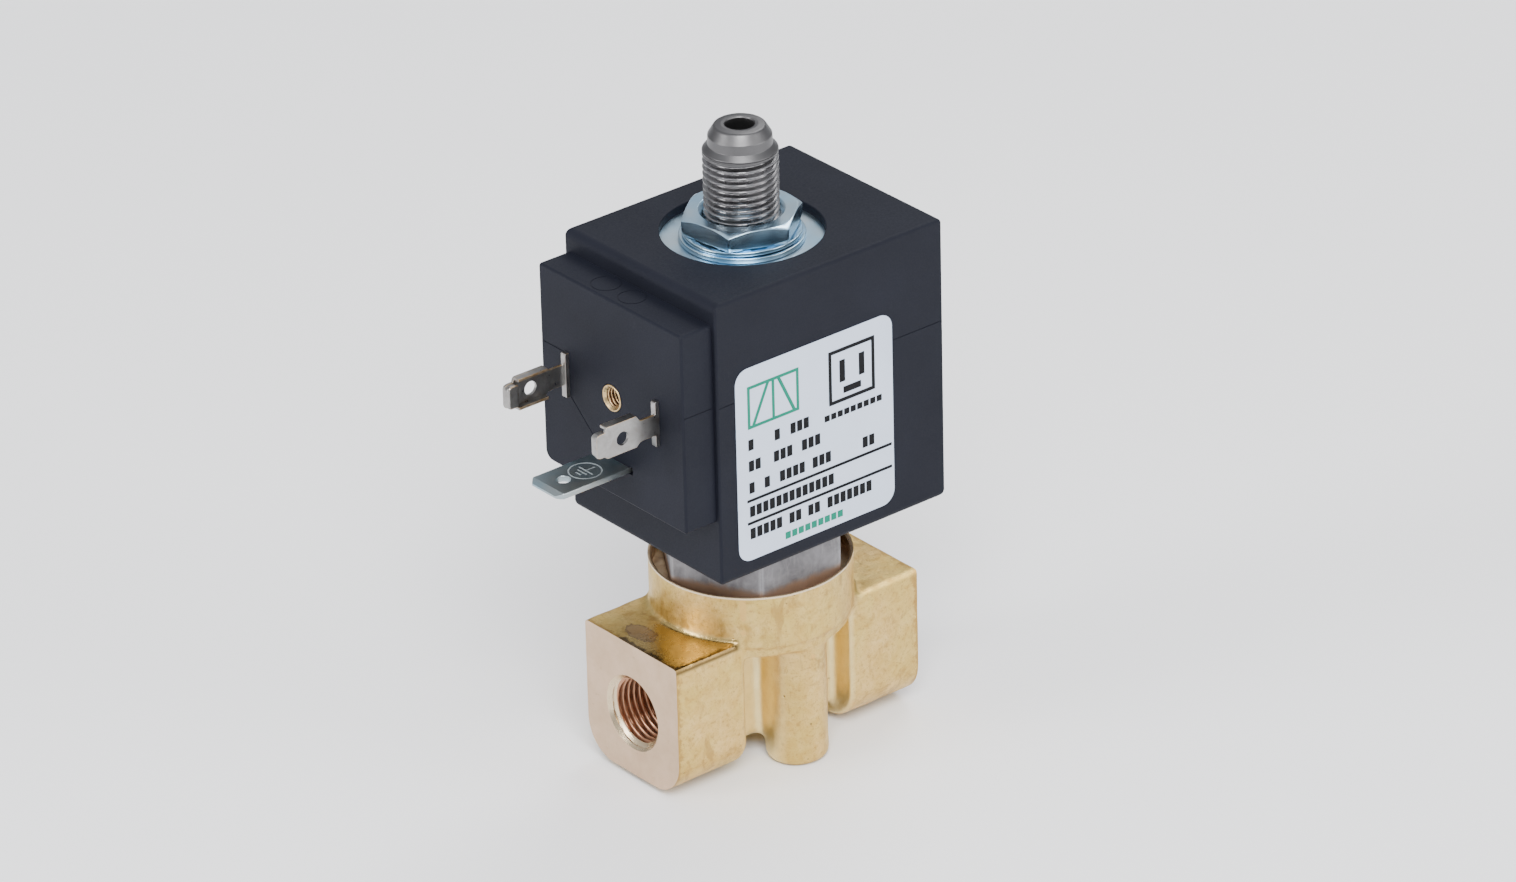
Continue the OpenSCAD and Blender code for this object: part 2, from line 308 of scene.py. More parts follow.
def tube(name, points, radius, sides=10):
    """Round wire along a path of points."""
    points = np.asarray(points, float)
    tangents = np.gradient(points, axis=0)
    tangents /= np.linalg.norm(tangents, axis=1)[:, None]
    normal = np.cross(tangents[0], [0.3, 0.2, 1.0])
    verts = []
    for point, tangent in zip(points, tangents):
        normal = normal - tangent * (normal @ tangent)
        normal /= np.linalg.norm(normal)
        side = np.cross(tangent, normal)
        verts += [point + radius * (math.cos(a) * normal + math.sin(a) * side) for a in even_angles(sides)]
    faces = []
    for i in range(0, len(verts) - sides, sides):
        for k in range(sides):
            n = (k + 1) % sides
            faces.append((i + k, i + n, i + sides + n, i + sides + k))
    faces.append(list(range(sides))[::-1])
    faces.append(list(range(len(verts) - sides, len(verts))))
    return new_object(name, verts, faces, 60)


def join(name, objects):
    """One object from several."""
    work = bmesh.new()
    for obj in objects:
        work.from_mesh(obj.data)
        discard(obj)
    mesh = bpy.data.meshes.new(name)
    work.to_mesh(mesh)
    work.free()
    out = add_to_scene(name, mesh)
    shade(out)
    return out


# ---------------------------------------------------------------- distance fields

def field_grid(low, high, step):
    axes = [np.arange(a, b + step, step) for a, b in zip(low, high)]
    return np.meshgrid(*axes, indexing="ij")


def corner(first, second):
    """Intersection of two distances, rounded outside."""
    return np.minimum(np.maximum(first, second), 0) + np.hypot(np.maximum(first, 0), np.maximum(second, 0))


def blend(first, second, size):
    """Union with a fillet of about the given size."""
    h = np.clip(0.5 + 0.5 * (second - first) / size, 0, 1)
    return second * (1 - h) + first * h - size * h * (1 - h)


def post_field(x, y, z, centre_y, radius, low, high, edge):
    """Upright post standing on the plane x = 0."""
    flat = np.hypot(x, y - centre_y) - radius
    tall = np.abs(z - (low + high) / 2) - (high - low) / 2
    return corner(flat + edge, tall + edge) - edge


def block_field(x, y, z, low, high, corner_low, corner_high, edge):
    """Prism along X whose lower and upper corners have their own radii."""
    up = z - (low[2] + high[2]) / 2
    radius = np.where(up > 0, corner_high, corner_low)
    qy = np.abs(y) - (high[1] - low[1]) / 2 + radius
    qz = np.abs(up) - (high[2] - low[2]) / 2 + radius
    flat = corner(qy, qz) - radius
    along = np.abs(x - (low[0] + high[0]) / 2) - (high[0] - low[0]) / 2
    return corner(flat + edge, along + edge) - edge


def ripple(x, y, z, amount, length, seed):
    """Slow unevenness of a hot forged skin."""
    pick = np.random.default_rng(seed)
    out = np.zeros_like(x)
    waves = 7
    for _ in range(waves):
        way = pick.normal(size=3)
        way *= TAU / (length * pick.uniform(0.7, 1.6)) / np.linalg.norm(way)
        out += np.sin(x * way[0] + y * way[1] + z * way[2] + pick.uniform(0, TAU))
    return out * amount / waves


def surface_net(field, low, step):
    """Quads through the zero level of a field sampled on a grid."""
    inside = field < 0
    shape = np.array(field.shape)
    unit = np.eye(3, dtype=int)
    count = np.zeros(shape - 1, np.int8)
    for shift in product((0, 1), repeat=3):
        count += inside[tuple(slice(d, n - 1 + d) for d, n in zip(shift, shape))]
    mixed = (count > 0) & (count < 8)
    cells = np.argwhere(mixed)
    index = np.full(shape - 1, -1)
    index[mixed] = np.arange(len(cells))
    # Each vertex is the mean of where its cell's edges cross the surface
    total = np.zeros((len(cells), 3))
    hits = np.zeros(len(cells))
    for axis in range(3):
        b, c = [k for k in range(3) if k != axis]
        for i, j in product((0, 1), repeat=2):
            start = cells + i * unit[b] + j * unit[c]
            f0 = field[tuple(start.T)]
            f1 = field[tuple((start + unit[axis]).T)]
            cross = (f0 < 0) != (f1 < 0)
            part = np.where(cross, f0 / np.where(cross, f0 - f1, 1), 0)
            total += np.where(cross[:, None], start + part[:, None] * unit[axis], 0)
            hits += cross
    verts = np.array(low) + step * total / hits[:, None]
    # Each grid edge that crosses the surface gives a quad between its four cells
    faces = []
    for axis in range(3):
        b, c = (axis + 1) % 3, (axis + 2) % 3
        change = -np.diff(inside.astype(int), axis=axis)
        edges = np.argwhere(change != 0)
        keep = (edges[:, b] > 0) & (edges[:, c] > 0)
        keep &= (edges[:, b] < shape[b] - 1) & (edges[:, c] < shape[c] - 1)
        edges = edges[keep]
        way = change[tuple(edges.T)]
        quad = np.stack([index[tuple((edges - i * unit[b] - j * unit[c]).T)]
                         for i, j in ((1, 1), (0, 1), (0, 0), (1, 0))], 1)
        quad[way < 0] = quad[way < 0][:, ::-1]
        faces.append(quad)
    return verts, np.concatenate(faces)


# ---------------------------------------------------------------- materials

class Paint:
    """Small helper that builds one node material."""

    def __init__(self, name, **values):
        self.material = bpy.data.materials.new(name)
        self.material.use_nodes = True
        self.tree = self.material.node_tree
        self.shader = self.tree.nodes["Principled BSDF"]
        self.place = self.node("ShaderNodeTexCoord").outputs["Object"]
        self.preset(self.shader, {key.replace("_", " "): value for key, value in values.items()})

    def node(self, kind, **values):
        made = self.tree.nodes.new(kind)
        for key, value in values.items():
            setattr(made, key, value)
        return made

    def preset(self, node, values):
        for key, value in values.items():
            node.inputs[key].default_value = value

    def link(self, source, target):
        self.tree.links.new(source, target)

    def feed(self, value, slot):
        """Give an input a number, a colour or another node's output."""
        if isinstance(value, (int, float)):
            slot.default_value = value
        elif isinstance(value, tuple):
            slot.default_value = (*value, 1)
        else:
            self.link(value, slot)

    def noise(self, size_mm, detail=3.0, rough=0.5, offset=0.0, stretch=(1, 1, 1), distort=0.0):
        """Noise whose features are about size_mm across."""
        mapping = self.node("ShaderNodeMapping")
        self.preset(mapping, {"Scale": [1 / s for s in stretch],
                              "Location": (offset, offset * 0.7, offset * 1.3)})
        texture = self.node("ShaderNodeTexNoise")
        self.preset(texture, {"Scale": 1 / (size_mm * MM), "Detail": detail, "Roughness": rough,
                              "Distortion": distort})
        self.link(self.place, mapping.inputs["Vector"])
        self.link(mapping.outputs["Vector"], texture.inputs["Vector"])
        return texture.outputs["Fac"]

    def cells(self, size_mm):
        texture = self.node("ShaderNodeTexVoronoi")
        self.preset(texture, {"Scale": 1 / (size_mm * MM)})
        self.link(self.place, texture.inputs["Vector"])
        return texture.outputs["Distance"]

    def rings(self, size_mm, distort):
        """Bands across Z, size_mm apart."""
        texture = self.node("ShaderNodeTexWave", wave_type="BANDS", bands_direction="Z")
        self.preset(texture, {"Scale": TAU / 20 / (size_mm * MM), "Distortion": distort, "Detail": 2})
        self.link(self.place, texture.inputs["Vector"])
        return texture.outputs["Fac"]

    def ramp(self, source, low, high, first=0.0, last=1.0):
        """Map low..high of a value to first..last, clamped."""
        made = self.node("ShaderNodeMapRange", clamp=True)
        self.preset(made, {"From Min": low, "From Max": high, "To Min": first, "To Max": last})
        self.link(source, made.inputs["Value"])
        return made.outputs["Result"]

    def fade(self, source, low, high):
        """1 below low, 0 above high."""
        return self.ramp(source, low, high, 1.0, 0.0)

    def math(self, operation, *values):
        made = self.node("ShaderNodeMath", operation=operation)
        for slot, value in zip(made.inputs, values):
            self.feed(value, slot)
        return made.outputs[0]

    def times(self, first, *others):
        for other in others:
            first = self.math("MULTIPLY", first, other)
        return first

    def plus(self, first, second):
        return self.math("ADD", first, second)

    def minus(self, first, second):
        return self.math("SUBTRACT", first, second)

    def hypot(self, first, second):
        return self.math("SQRT", self.plus(self.times(first, first), self.times(second, second)))

    def mix(self, factor, first, second):
        """Mix two colours, given as sockets or as tuples."""
        made = self.node("ShaderNodeMix", data_type="RGBA")
        for key, value in (("Factor", factor), ("A", first), ("B", second)):
            self.feed(value, [s for s in made.inputs if s.name == key and s.enabled][0])
        return [s for s in made.outputs if s.enabled][0]

    def layers(self, color, *layers):
        """Cover a colour with layers of (mask, share, tone)."""
        for mask, share, tone in layers:
            color = self.mix(self.times(mask, share), color, tone)
        return color

    def axis(self, name):
        """A coordinate in millimetres."""
        split = self.node("ShaderNodeSeparateXYZ")
        self.link(self.place, split.inputs[0])
        return self.times(split.outputs[name], 1000)

    def pointiness(self):
        return self.node("ShaderNodeNewGeometry").outputs["Pointiness"]

    def bump(self, height, distance_mm, strength=1.0, below=None):
        made = self.node("ShaderNodeBump")
        self.preset(made, {"Strength": strength, "Distance": distance_mm * MM})
        self.link(height, made.inputs["Height"])
        if below:
            self.link(below, made.inputs["Normal"])
        return made.outputs["Normal"]

    def gloss(self, noise, low, high):
        """Roughness that wanders from low to high."""
        return self.ramp(self.noise(*noise), 0.3, 0.7, low, high)

    def finish(self, color, rough, normal=None):
        for value, key in ((color, "Base Color"), (rough, "Roughness"), (normal, "Normal")):
            if value is not None:
                self.link(value, self.shader.inputs[key])
        return self.material


def clouded(name, tones, cloud, gloss, skin=None, spread=(0, 1), **values):
    """Material between two tones, with its own noises for colour, gloss and skin.
    gloss is (noise, low, high) and skin is (noise, depth, strength)."""
    p = Paint(name, **values)
    color = p.mix(p.ramp(p.noise(*cloud), *spread), *tones)
    normal = p.bump(p.noise(*skin[0]), *skin[1:]) if skin else None
    return p.finish(color, p.gloss(*gloss), normal)


def scaled(tone, *factors):
    return tuple(min(1.0, c * f) for c, f in zip(tone, factors * 3))


def forged_brass():
    """Hot forged and tumbled skin: pale gold, mottled, with brown stains and small pits, and painted light in
    its hollows and in the gaps between the feet and the port blocks.
    """
    p = Paint("forged_brass", Metallic=1.0)
    mottle = p.ramp(p.noise(1.8, 5, 0.65, distort=0.6), 0.35, 0.70)
    speck = p.ramp(p.noise(0.55, 3, 0.6, 4.1), 0.56, 0.70)
    grit = p.ramp(p.noise(0.24, 3, 0.7, 11.3), 0.58, 0.70)
    stain = p.ramp(p.noise(4.2, 6, 0.7, 3.1, distort=1.2), 0.55, 0.70)
    drip = p.ramp(p.noise(2.6, 4, 0.6, 8.4, (1, 1, 2.6), 0.9), 0.58, 0.66)
    pits = p.times(p.fade(p.cells(1.9), 0.03, 0.11), p.ramp(p.noise(3, 2, 0.5, 9.3), 0.52, 0.6))
    crest = p.ramp(p.pointiness(), 0.52, 0.60)
    # Painted light: the hollows are made paler to stand in for light bouncing into them
    hollow_painted_light = p.fade(p.pointiness(), 0.40, 0.485)
    golden, outline, smudge = flow_mark(p)
    color = p.mix(p.ramp(p.noise(8, 4, 0.6), 0.38, 0.62), (0.62, 0.462, 0.145), (0.70, 0.50, 0.20))
    color = p.layers(
        color, (mottle, 0.85, (0.52, 0.33, 0.085)), (speck, 0.5, (0.34, 0.20, 0.065)),
        (grit, 0.5, (0.26, 0.15, 0.06)), (stain, 0.75, (0.36, 0.22, 0.06)), (drip, 0.5, (0.34, 0.20, 0.06)),
        (pits, 0.85, (0.08, 0.05, 0.03)), (worn_ends(p), 0.75, (0.36, 0.21, 0.06)),
        # the pale tone in the hollows is painted light
        (crest, 0.6, (0.66, 0.40, 0.13)), (hollow_painted_light, 0.75, (0.86, 0.72, 0.36)),
        # the pale tone in the gaps between the feet and the port blocks is painted light
        (web_painted_light(p), 0.65, (0.92, 0.77, 0.40)), (golden, 0.7, (0.51, 0.36, 0.13)),
        (smudge, 0.7, (0.36, 0.23, 0.13)), (outline, 0.85, (0.07, 0.04, 0.015)))
    rough = p.minus(p.gloss((2.4, 5, 0.65, 1.9), 0.32, 0.52), p.times(golden, 0.16))
    grain = p.bump(p.noise(0.3, 3, 0.65), 0.03, 0.55)
    dents = p.bump(p.noise(1.3, 4, 0.6, 2.2), 0.12, 0.5, grain)
    return p.finish(color, rough, p.bump(p.minus(1.0, pits), 0.14, 0.8, dents))


def web_painted_light(p):
    """Painted light: paler skin in the gaps between the feet and the port blocks."""
    x, y, z = (p.math("ABSOLUTE", p.axis(k)) for k in "XYZ")
    return p.times(p.ramp(x, 2.6, 3.6), p.fade(x, 8.7, 9.6), p.fade(y, 9.0, 11.0), p.fade(z, 17.0, 18.5))


def worn_ends(p):
    """Broken brown line where the forged skin meets the milled port faces."""
    far = p.math("ABSOLUTE", p.axis("X"))
    rag = p.times(p.minus(p.noise(0.9, 4, 0.7, 5.7), 0.5), 3.0)
    return p.ramp(p.plus(p.minus(far, HALF_LEN), rag), -0.7, -0.2)


def flow_mark(p):
    """Smooth golden skin on top of the inlet block, its dark outline and a brown smudge."""
    x, y, z = (p.axis(k) for k in "XYZ")
    wobble = p.minus(p.noise(1.5, 4, 0.65, 6.6, distort=0.6), 0.5)
    top = p.times(p.ramp(z, 18.9, 19.3), p.fade(z, 20.3, 20.7), p.fade(x, -10.2, -9.6),
                  p.ramp(p.hypot(x, y), 12.9, 13.3))
    golden = p.times(p.fade(p.plus(y, p.times(wobble, 7.0)), 1.6, 2.2), top)
    edge = p.math("MINIMUM", p.plus(x, 20.2), p.plus(y, 9.3))
    line = p.times(p.fade(p.plus(edge, p.times(wobble, 2.4)), 0.35, 0.75), golden)
    u = p.math("DIVIDE", p.plus(x, 17.1), 1.5)
    v = p.math("DIVIDE", p.minus(y, 1.6), 2.7)
    reach = p.plus(p.hypot(u, v), p.times(wobble, 1.4))
    smudge = p.times(p.fade(reach, 0.98, 1.04), top)
    rim = p.times(p.ramp(reach, 0.84, 0.98, 0.0, 0.6), smudge)
    return golden, p.math("MAXIMUM", line, rim), smudge


def machined_brass():
    """Flat milled and tumbled faces: matt, slightly pink."""
    p = Paint("milled_brass", Metallic=1.0)
    color = p.mix(p.ramp(p.noise(5, 4, 0.6), 0.35, 0.7), (0.53, 0.385, 0.26), (0.60, 0.445, 0.315))
    spots = p.ramp(p.noise(0.9, 3, 0.5, 4.4), 0.66, 0.78)
    specks = p.ramp(p.noise(0.35, 3, 0.6, 2.4), 0.6, 0.75)
    color = p.layers(color, (spots, 0.5, (0.36, 0.24, 0.14)), (specks, 0.3, (0.44, 0.32, 0.24)))
    return p.finish(color, p.gloss((2.0, 4, 0.6), 0.50, 0.64), p.bump(p.noise(0.25, 3, 0.6), 0.02, 0.5))


def bright_brass():
    return clouded("turned_brass", ((0.62, 0.48, 0.30), (0.74, 0.61, 0.42)), (3, 3, 0.5),
                   ((1.5, 3, 0.5), 0.22, 0.34), ((0.2, 2, 0.5), 0.01, 0.4), Metallic=1.0, Anisotropic=0.4)


def thread_brass():
    return clouded("thread_brass", ((0.34, 0.16, 0.09), (0.56, 0.32, 0.20)), (1.4, 4, 0.6),
                   ((0.8, 3, 0.5), 0.30, 0.46), ((0.3, 2, 0.5), 0.01, 0.3), Metallic=1.0)


def bore_brass():
    """Turned inside of the collar: partly the real turned brass, partly painted light, made paler where the
    coil and hexagon shade it.
    """
    p = Paint("bore_brass", Metallic=1.0)
    color = p.mix(p.ramp(p.noise(2.6, 4, 0.6), 0.35, 0.65), (0.52, 0.36, 0.21), (0.86, 0.66, 0.42))
    return p.finish(color, p.gloss((1.2, 3, 0.5), 0.30, 0.5), p.bump(p.rings(3.5, 1.0), 0.012, 0.5))


def turned_steel(name="turned_steel", tone=0.24, low=0.20, high=0.32):
    tones = ((tone * 0.92, tone * 0.91, tone * 0.93), (tone * 1.1, tone * 1.08, tone * 1.10))
    return clouded(name, tones, (2.5, 4, 0.6), ((1.6, 3, 0.6, 0, (6, 6, 1)), low, high),
                   ((0.08, 2, 0.5, 0, (40, 40, 1)), 0.003, 0.2), Metallic=1.0, Anisotropic=0.3)


def satin_steel():
    """Milled hexagon under the coil, with painted highlights on its corners and a painted brown reflection of
    the collar's brass along the rim.
    """
    p = Paint("satin_steel", Metallic=0.6)
    cloud = p.ramp(p.noise(2.8, 4, 0.65, distort=0.6), 0.35, 0.68)
    streak = p.ramp(p.noise(0.5, 4, 0.6, 5.1, (1, 1, 7)), 0.55, 0.7)
    # Height above the collar's rim, for the painted brown reflection of the brass inside the collar
    height = p.plus(p.minus(p.axis("Z"), RIM), p.times(p.noise(1.1, 4, 0.65, 2.7), 1.2))
    color = p.layers(
        p.mix(cloud, (0.135, 0.130, 0.135), (0.225, 0.219, 0.227)), (streak, 0.5, (0.25, 0.245, 0.25)),
        # painted highlight along the hexagon's corners
        (p.ramp(p.pointiness(), 0.51, 0.54), 0.8, (0.50, 0.50, 0.52)),
        # painted brown reflection of the collar's brass along the rim
        (p.fade(height, 0.4, 1.3), 0.75, (0.30, 0.17, 0.09)))
    lines = p.noise(0.12, 2, 0.5, stretch=(1, 1, 30))
    return p.finish(color, p.gloss((1.2, 4, 0.6), 0.5, 0.66), p.bump(lines, 0.01, 0.4))


def bright_zinc(name="bright_zinc", tint=(0.46, 0.63, 0.78), low=0.21, high=0.27):
    return clouded(name, (scaled(tint, 0.82, 0.95, 1.0), scaled(tint, 1.12, 1.02, 0.94)), (5.0, 2, 0.4),
                   ((3.0, 2, 0.5), low, high), ((3.0, 1, 0.4), 0.001, 0.1), (0.35, 0.65), Metallic=1.0)


def coil_plastic():
    """Moulded thermoset: nearly black, matt, with a few dust specks and rubbed spots."""
    p = Paint("coil_plastic", IOR=1.5, Specular_IOR_Level=0.14)
    fine = p.noise(0.22, 3, 0.65)
    dust = p.times(p.fade(p.cells(3.1), 0.014, 0.035), p.ramp(p.noise(5, 2, 0.5, 7.7), 0.54, 0.6))
    scuff = p.ramp(p.noise(2.0, 5, 0.7, 6.1, (1, 1, 3), 1.5), 0.62, 0.8)
    color = p.mix(p.ramp(p.noise(12, 4, 0.55), 0.3, 0.7), (0.0052, 0.0060, 0.0108), (0.0070, 0.0081, 0.0140))
    color = p.layers(color, (scuff, 0.25, (0.012, 0.013, 0.019)), (dust, 0.5, (0.08, 0.085, 0.10)))
    rough = p.minus(p.ramp(fine, 0.3, 0.7, 0.56, 0.68), p.times(scuff, 0.08))
    return p.finish(color, rough, p.bump(p.noise(6, 2, 0.4), 0.02, 0.3, p.bump(fine, 0.012, 0.5)))


def dark_plastic(name="bobbin_plastic", tone=(0.10, 0.11, 0.13)):
    return clouded(name, (tone, scaled(tone, 1.25)), (3, 3, 0.5), ((0.3, 3, 0.6), 0.4, 0.55),
                   ((0.3, 2, 0.5), 0.01, 0.4))


def seal_rubber():
    return clouded("seal_rubber", ((0.016, 0.016, 0.018), (0.03, 0.03, 0.032)), (1.5, 3, 0.5),
                   ((0.4, 3, 0.6), 0.5, 0.7), ((0.2, 2, 0.5), 0.008, 0.4))


def copper(name="copper", tone=(0.72, 0.36, 0.20)):
    return clouded(name, (scaled(tone, 0.7), tone), (1.2, 3, 0.5), ((0.5, 3, 0.6), 0.22, 0.4),
                   ((0.2, 2, 0.5), 0.006, 0.3), Metallic=1.0)


def insert_thread():
    """Thread in the plug's insert: bright crests and brown roots."""
    p = Paint("insert_thread", Metallic=1.0)
    off = p.hypot(p.axis("Y"), p.minus(p.axis("Z"), PLUG_Z))
    color = p.mix(p.ramp(off, 1.27, 1.42), (0.66, 0.46, 0.25), (0.13, 0.06, 0.03))
    return p.finish(color, p.gloss((0.5, 3, 0.6), 0.34, 0.44))


def tinned_brass():
    """Silver blades whose tin is worn brown in places."""
    p = Paint("tinned_brass", Metallic=1.0)
    cloud = p.ramp(p.noise(1.8, 4, 0.6, distort=0.5), 0.35, 0.7)
    worn = p.ramp(p.noise(1.1, 4, 0.65, 2.5, distort=0.8), 0.58, 0.72)
    color = p.mix(cloud, (0.26, 0.25, 0.24), (0.35, 0.345, 0.335))
    color = p.layers(color, (worn, 0.4, (0.24, 0.17, 0.11)))
    return p.finish(color, p.gloss((0.8, 4, 0.6), 0.26, 0.42), p.bump(p.noise(0.3, 3, 0.6), 0.012, 0.5))


def blade_edge():
    """Sheared and folded edges of the blades, where the tin is thin."""
    return clouded("blade_edge", ((0.46, 0.30, 0.15), (0.54, 0.43, 0.31)), (1.3, 4, 0.65, 7.9),
                   ((0.5, 3, 0.6), 0.32, 0.46), ((0.3, 3, 0.6), 0.01, 0.4), (0.38, 0.60), Metallic=1.0)


def label_film():
    p = Paint("label_film", IOR=1.48)
    color = p.mix(p.ramp(p.noise(10, 3, 0.5), 0.3, 0.7), (0.48, 0.55, 0.67), (0.52, 0.59, 0.71))
    color = p.layers(color, (p.ramp(p.noise(1.4, 3, 0.6, 3.3), 0.62, 0.8), 0.25, (0.45, 0.50, 0.58)))
    return p.finish(color, p.gloss((0.8, 3, 0.6), 0.34, 0.46), p.bump(p.noise(1.2, 2, 0.5), 0.006, 0.4))


def ink(name, tone):
    return clouded(name, (tone, tuple(c + 0.001 for c in tone)), (0.35, 3, 0.6), ((0.5, 2, 0.5), 0.45, 0.6),
                   Specular_IOR_Level=0.12)


MAT = {
    "forged": forged_brass(),
    "milled": machined_brass(),
    "bright": bright_brass(),
    "thread": thread_brass(),
    # pale partly as painted light inside the collar
    "bore": bore_brass(),
    "steel": turned_steel(),
    "hex": satin_steel(),
    "zinc": bright_zinc(),
    "earth": bright_zinc("earth_zinc", (0.33, 0.39, 0.42), 0.34, 0.44),
    # The stamp's grooves get a paler non-metal tone as painted light against their shade
    "earth_mark": dark_plastic("earth_stamp", (0.22, 0.25, 0.26)),
    "bore_steel": turned_steel("bore_steel", 0.10, 0.4, 0.5),
    "nose_steel": turned_steel("nose_steel", 0.112, 0.36, 0.46),
    "armature": turned_steel("armature_steel", 0.34, 0.26, 0.4),
    "spring": turned_steel("spring_steel", 0.44, 0.18, 0.3),
    "plastic": coil_plastic(),
    "bobbin": dark_plastic(),
    "rubber": seal_rubber(),
    "copper": copper(),
    "wire": copper("winding_wire", (0.60, 0.24, 0.10)),
    "blade": tinned_brass(),
    "blade_edge": blade_edge(),
    "insert": copper("insert_brass", (0.62, 0.44, 0.22)),
    "insert_thread": insert_thread(),
    "label": label_film(),
    "ink_dark": ink("ink_dark", (0.002, 0.002, 0.003)),
    "ink_green": ink("ink_green", (0.004, 0.17, 0.11)),
    "yoke": bright_zinc("yoke_zinc", (0.41, 0.54, 0.65), 0.30, 0.38),
}


def put(obj, body, node, materials=None, sharp=38):
    """Give a finished piece its materials, its body and the CAD node that it stands for."""
    if materials:
        chosen = [face.material_index for face in obj.data.polygons]
        obj.data.materials.clear()
        for key in materials:
            obj.data.materials.append(MAT[key])
        obj.data.polygons.foreach_set("material_index", chosen)
    steady_normals(obj, sharp)
    if body:
        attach(obj, body)
    if node:
        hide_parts(node)
    return obj


def paint_where(obj, chosen, index):
    """Give the faces picked out by chosen(x, y, z, nx, ny, nz), in millimetres, another material."""
    centre, normal, _ = face_values(obj.data)
    now = np.zeros(len(centre), np.int32)
    obj.data.polygons.foreach_get("material_index", now)
    now[chosen(*centre.T, *normal.T)] = index
    obj.data.polygons.foreach_set("material_index", now)


# ---------------------------------------------------------------- valve body

PORT_DEPTH = 8.5
PASSAGE_R = 1.25
OUTLET_X = 5.6
POCKET_R = 12.8
POCKET_Z = 24.6
SPIGOT_R = 9.2
CHAMBER_Z = 17.6


def body_field(x, y, z):
    """Forging before machining: two port blocks, web, two feet and collar."""
    half_w = 9.3
    inner = HALF_LEN - 11.5
    outer = HALF_LEN + 1.5
    blocks = [block_field(x, y, z, (low, -half_w, 0.8), (high, half_w, 19.9), 5.0, 0.45, 0.7)
              for low, high in ((-outer, -inner), (inner, outer))]
    web = block_field(x, y, z, (-inner - 2, -6.0, 3.2), (inner + 2, 6.0, 19.0), 1.2, 0.5, 0.5)
    feet = [post_field(x, y, z, side * FOOT_Y, 4.1, 0.0, 20.0, 1.1) for side in (-1, 1)]
    core = blend(blend(web, np.minimum(*feet), 2.2), np.minimum(*blocks), 1.4)
    ledge = post_field(x, y, z, 0, COLLAR_R - 0.45, 17.4, 21.0, 0.5)
    collar = post_field(x, y, z, 0, COLLAR_R, 18.9, RIM + 2, 0.35)
    return blend(core, blend(ledge, collar, 0.5), 0.9) + ripple(x, y, z, 0.07, 5.0, 4)


def port_tool(side):
    """Threaded bore with its countersink, to cut from the body."""
    angles = even_angles(128)
    cone = THREAD_MINOR + 0.97
    rings = [(cone, -1.0)]
    for height in np.arange(0, PORT_DEPTH - 0.3, PITCH / 14):
        fade = np.clip((PORT_DEPTH - 0.8 - height) / 0.6, 0, 1)
        radius = THREAD_MINOR + (THREAD_MAJOR - THREAD_MINOR) * thread_wave(height, angles, PITCH) * fade
        rings.append((np.maximum(radius, cone - height), height))
    end = HALF_LEN + 0.3 if side < 0 else HALF_LEN - OUTLET_X + 0.7
    rings += [(THREAD_MINOR, PORT_DEPTH - 0.2), (THREAD_MINOR - 0.3, PORT_DEPTH),
              (PASSAGE_R, PORT_DEPTH + 1.6), (PASSAGE_R, end)]
    return place_along_x(revolve("port_tool", rings, angles, False), side, side * HALF_LEN, PORT_Z)


def chamber_tool():
    """Room for the tube base, its seal and the plunger's foot, round the inlet seat."""
    path = [(0.76, 20.0), (0.76, 18.9), (1.1, 18.9), (2.0, 18.6), (2.0, CHAMBER_Z), (7.4, CHAMBER_Z),
            (7.4, 19.2), (SPIGOT_R, 19.2), (SPIGOT_R, POCKET_Z), (POCKET_R, POCKET_Z),
            (POCKET_R, RIM - 0.25), (POCKET_R + 0.25, RIM), (POCKET_R + 0.25, RIM + 1), (0.76, RIM + 1)]
    return revolve("chamber_tool", path, 96)


def foot_tool(side):
    """Threaded mounting hole under a foot."""
    angles = even_angles(64)
    pitch = 0.7
    bore = FEET["hole_r_mm"]
    cone = bore + 0.65
    rings = [(cone, -1.0), (cone, 0.0)]
    for height in np.arange(0.05, 6.2, pitch / 10):
        radius = bore + 0.38 * thread_wave(height, angles, pitch) * min(1.0, (6.3 - height) / 0.8)
        rings.append((np.maximum(radius, cone - height), height))
    rings += [(bore, 6.6), (0.05, 7.5)]
    return moved(revolve("foot_tool", rings, angles, False), y=side * FOOT_Y)


def valve_body():
    """The forging, then everything that is machined into it."""
    step = 0.3
    low = (-HALF_LEN - 2.5, -COLLAR_R - 1.2, -1.2)
    high = (HALF_LEN + 2.5, COLLAR_R + 1.2, RIM + 3)
    verts, faces = surface_net(body_field(*field_grid(low, high, step)), low, step)
    obj = new_object("valve_body_forging", verts, faces)
    far = 40
    tools = [cuboid("end", (HALF_LEN, -far, -far), (far, far, far)),
             cuboid("end", (-far, -far, -far), (-HALF_LEN, far, far)),
             cuboid("rim", (-far, -far, RIM), (far, far, far)),
             cuboid("sole", (-far, -far, -far), (far, far, 0.0)), chamber_tool()]
    tools += [make(side) for make in (port_tool, foot_tool) for side in (1, -1)]
    tools.append(revolve("inlet_tool", [(0.75, PORT_Z), (0.75, 19.5)], 32, False))
    outlet = revolve("outlet_tool", [(PASSAGE_R, PORT_Z - 1), (PASSAGE_R, CHAMBER_Z + 0.6)], 32, False)
    tools.append(moved(outlet, OUTLET_X))
    boolean(obj, tools, sharp=38)
    paint_body(obj)
    return obj


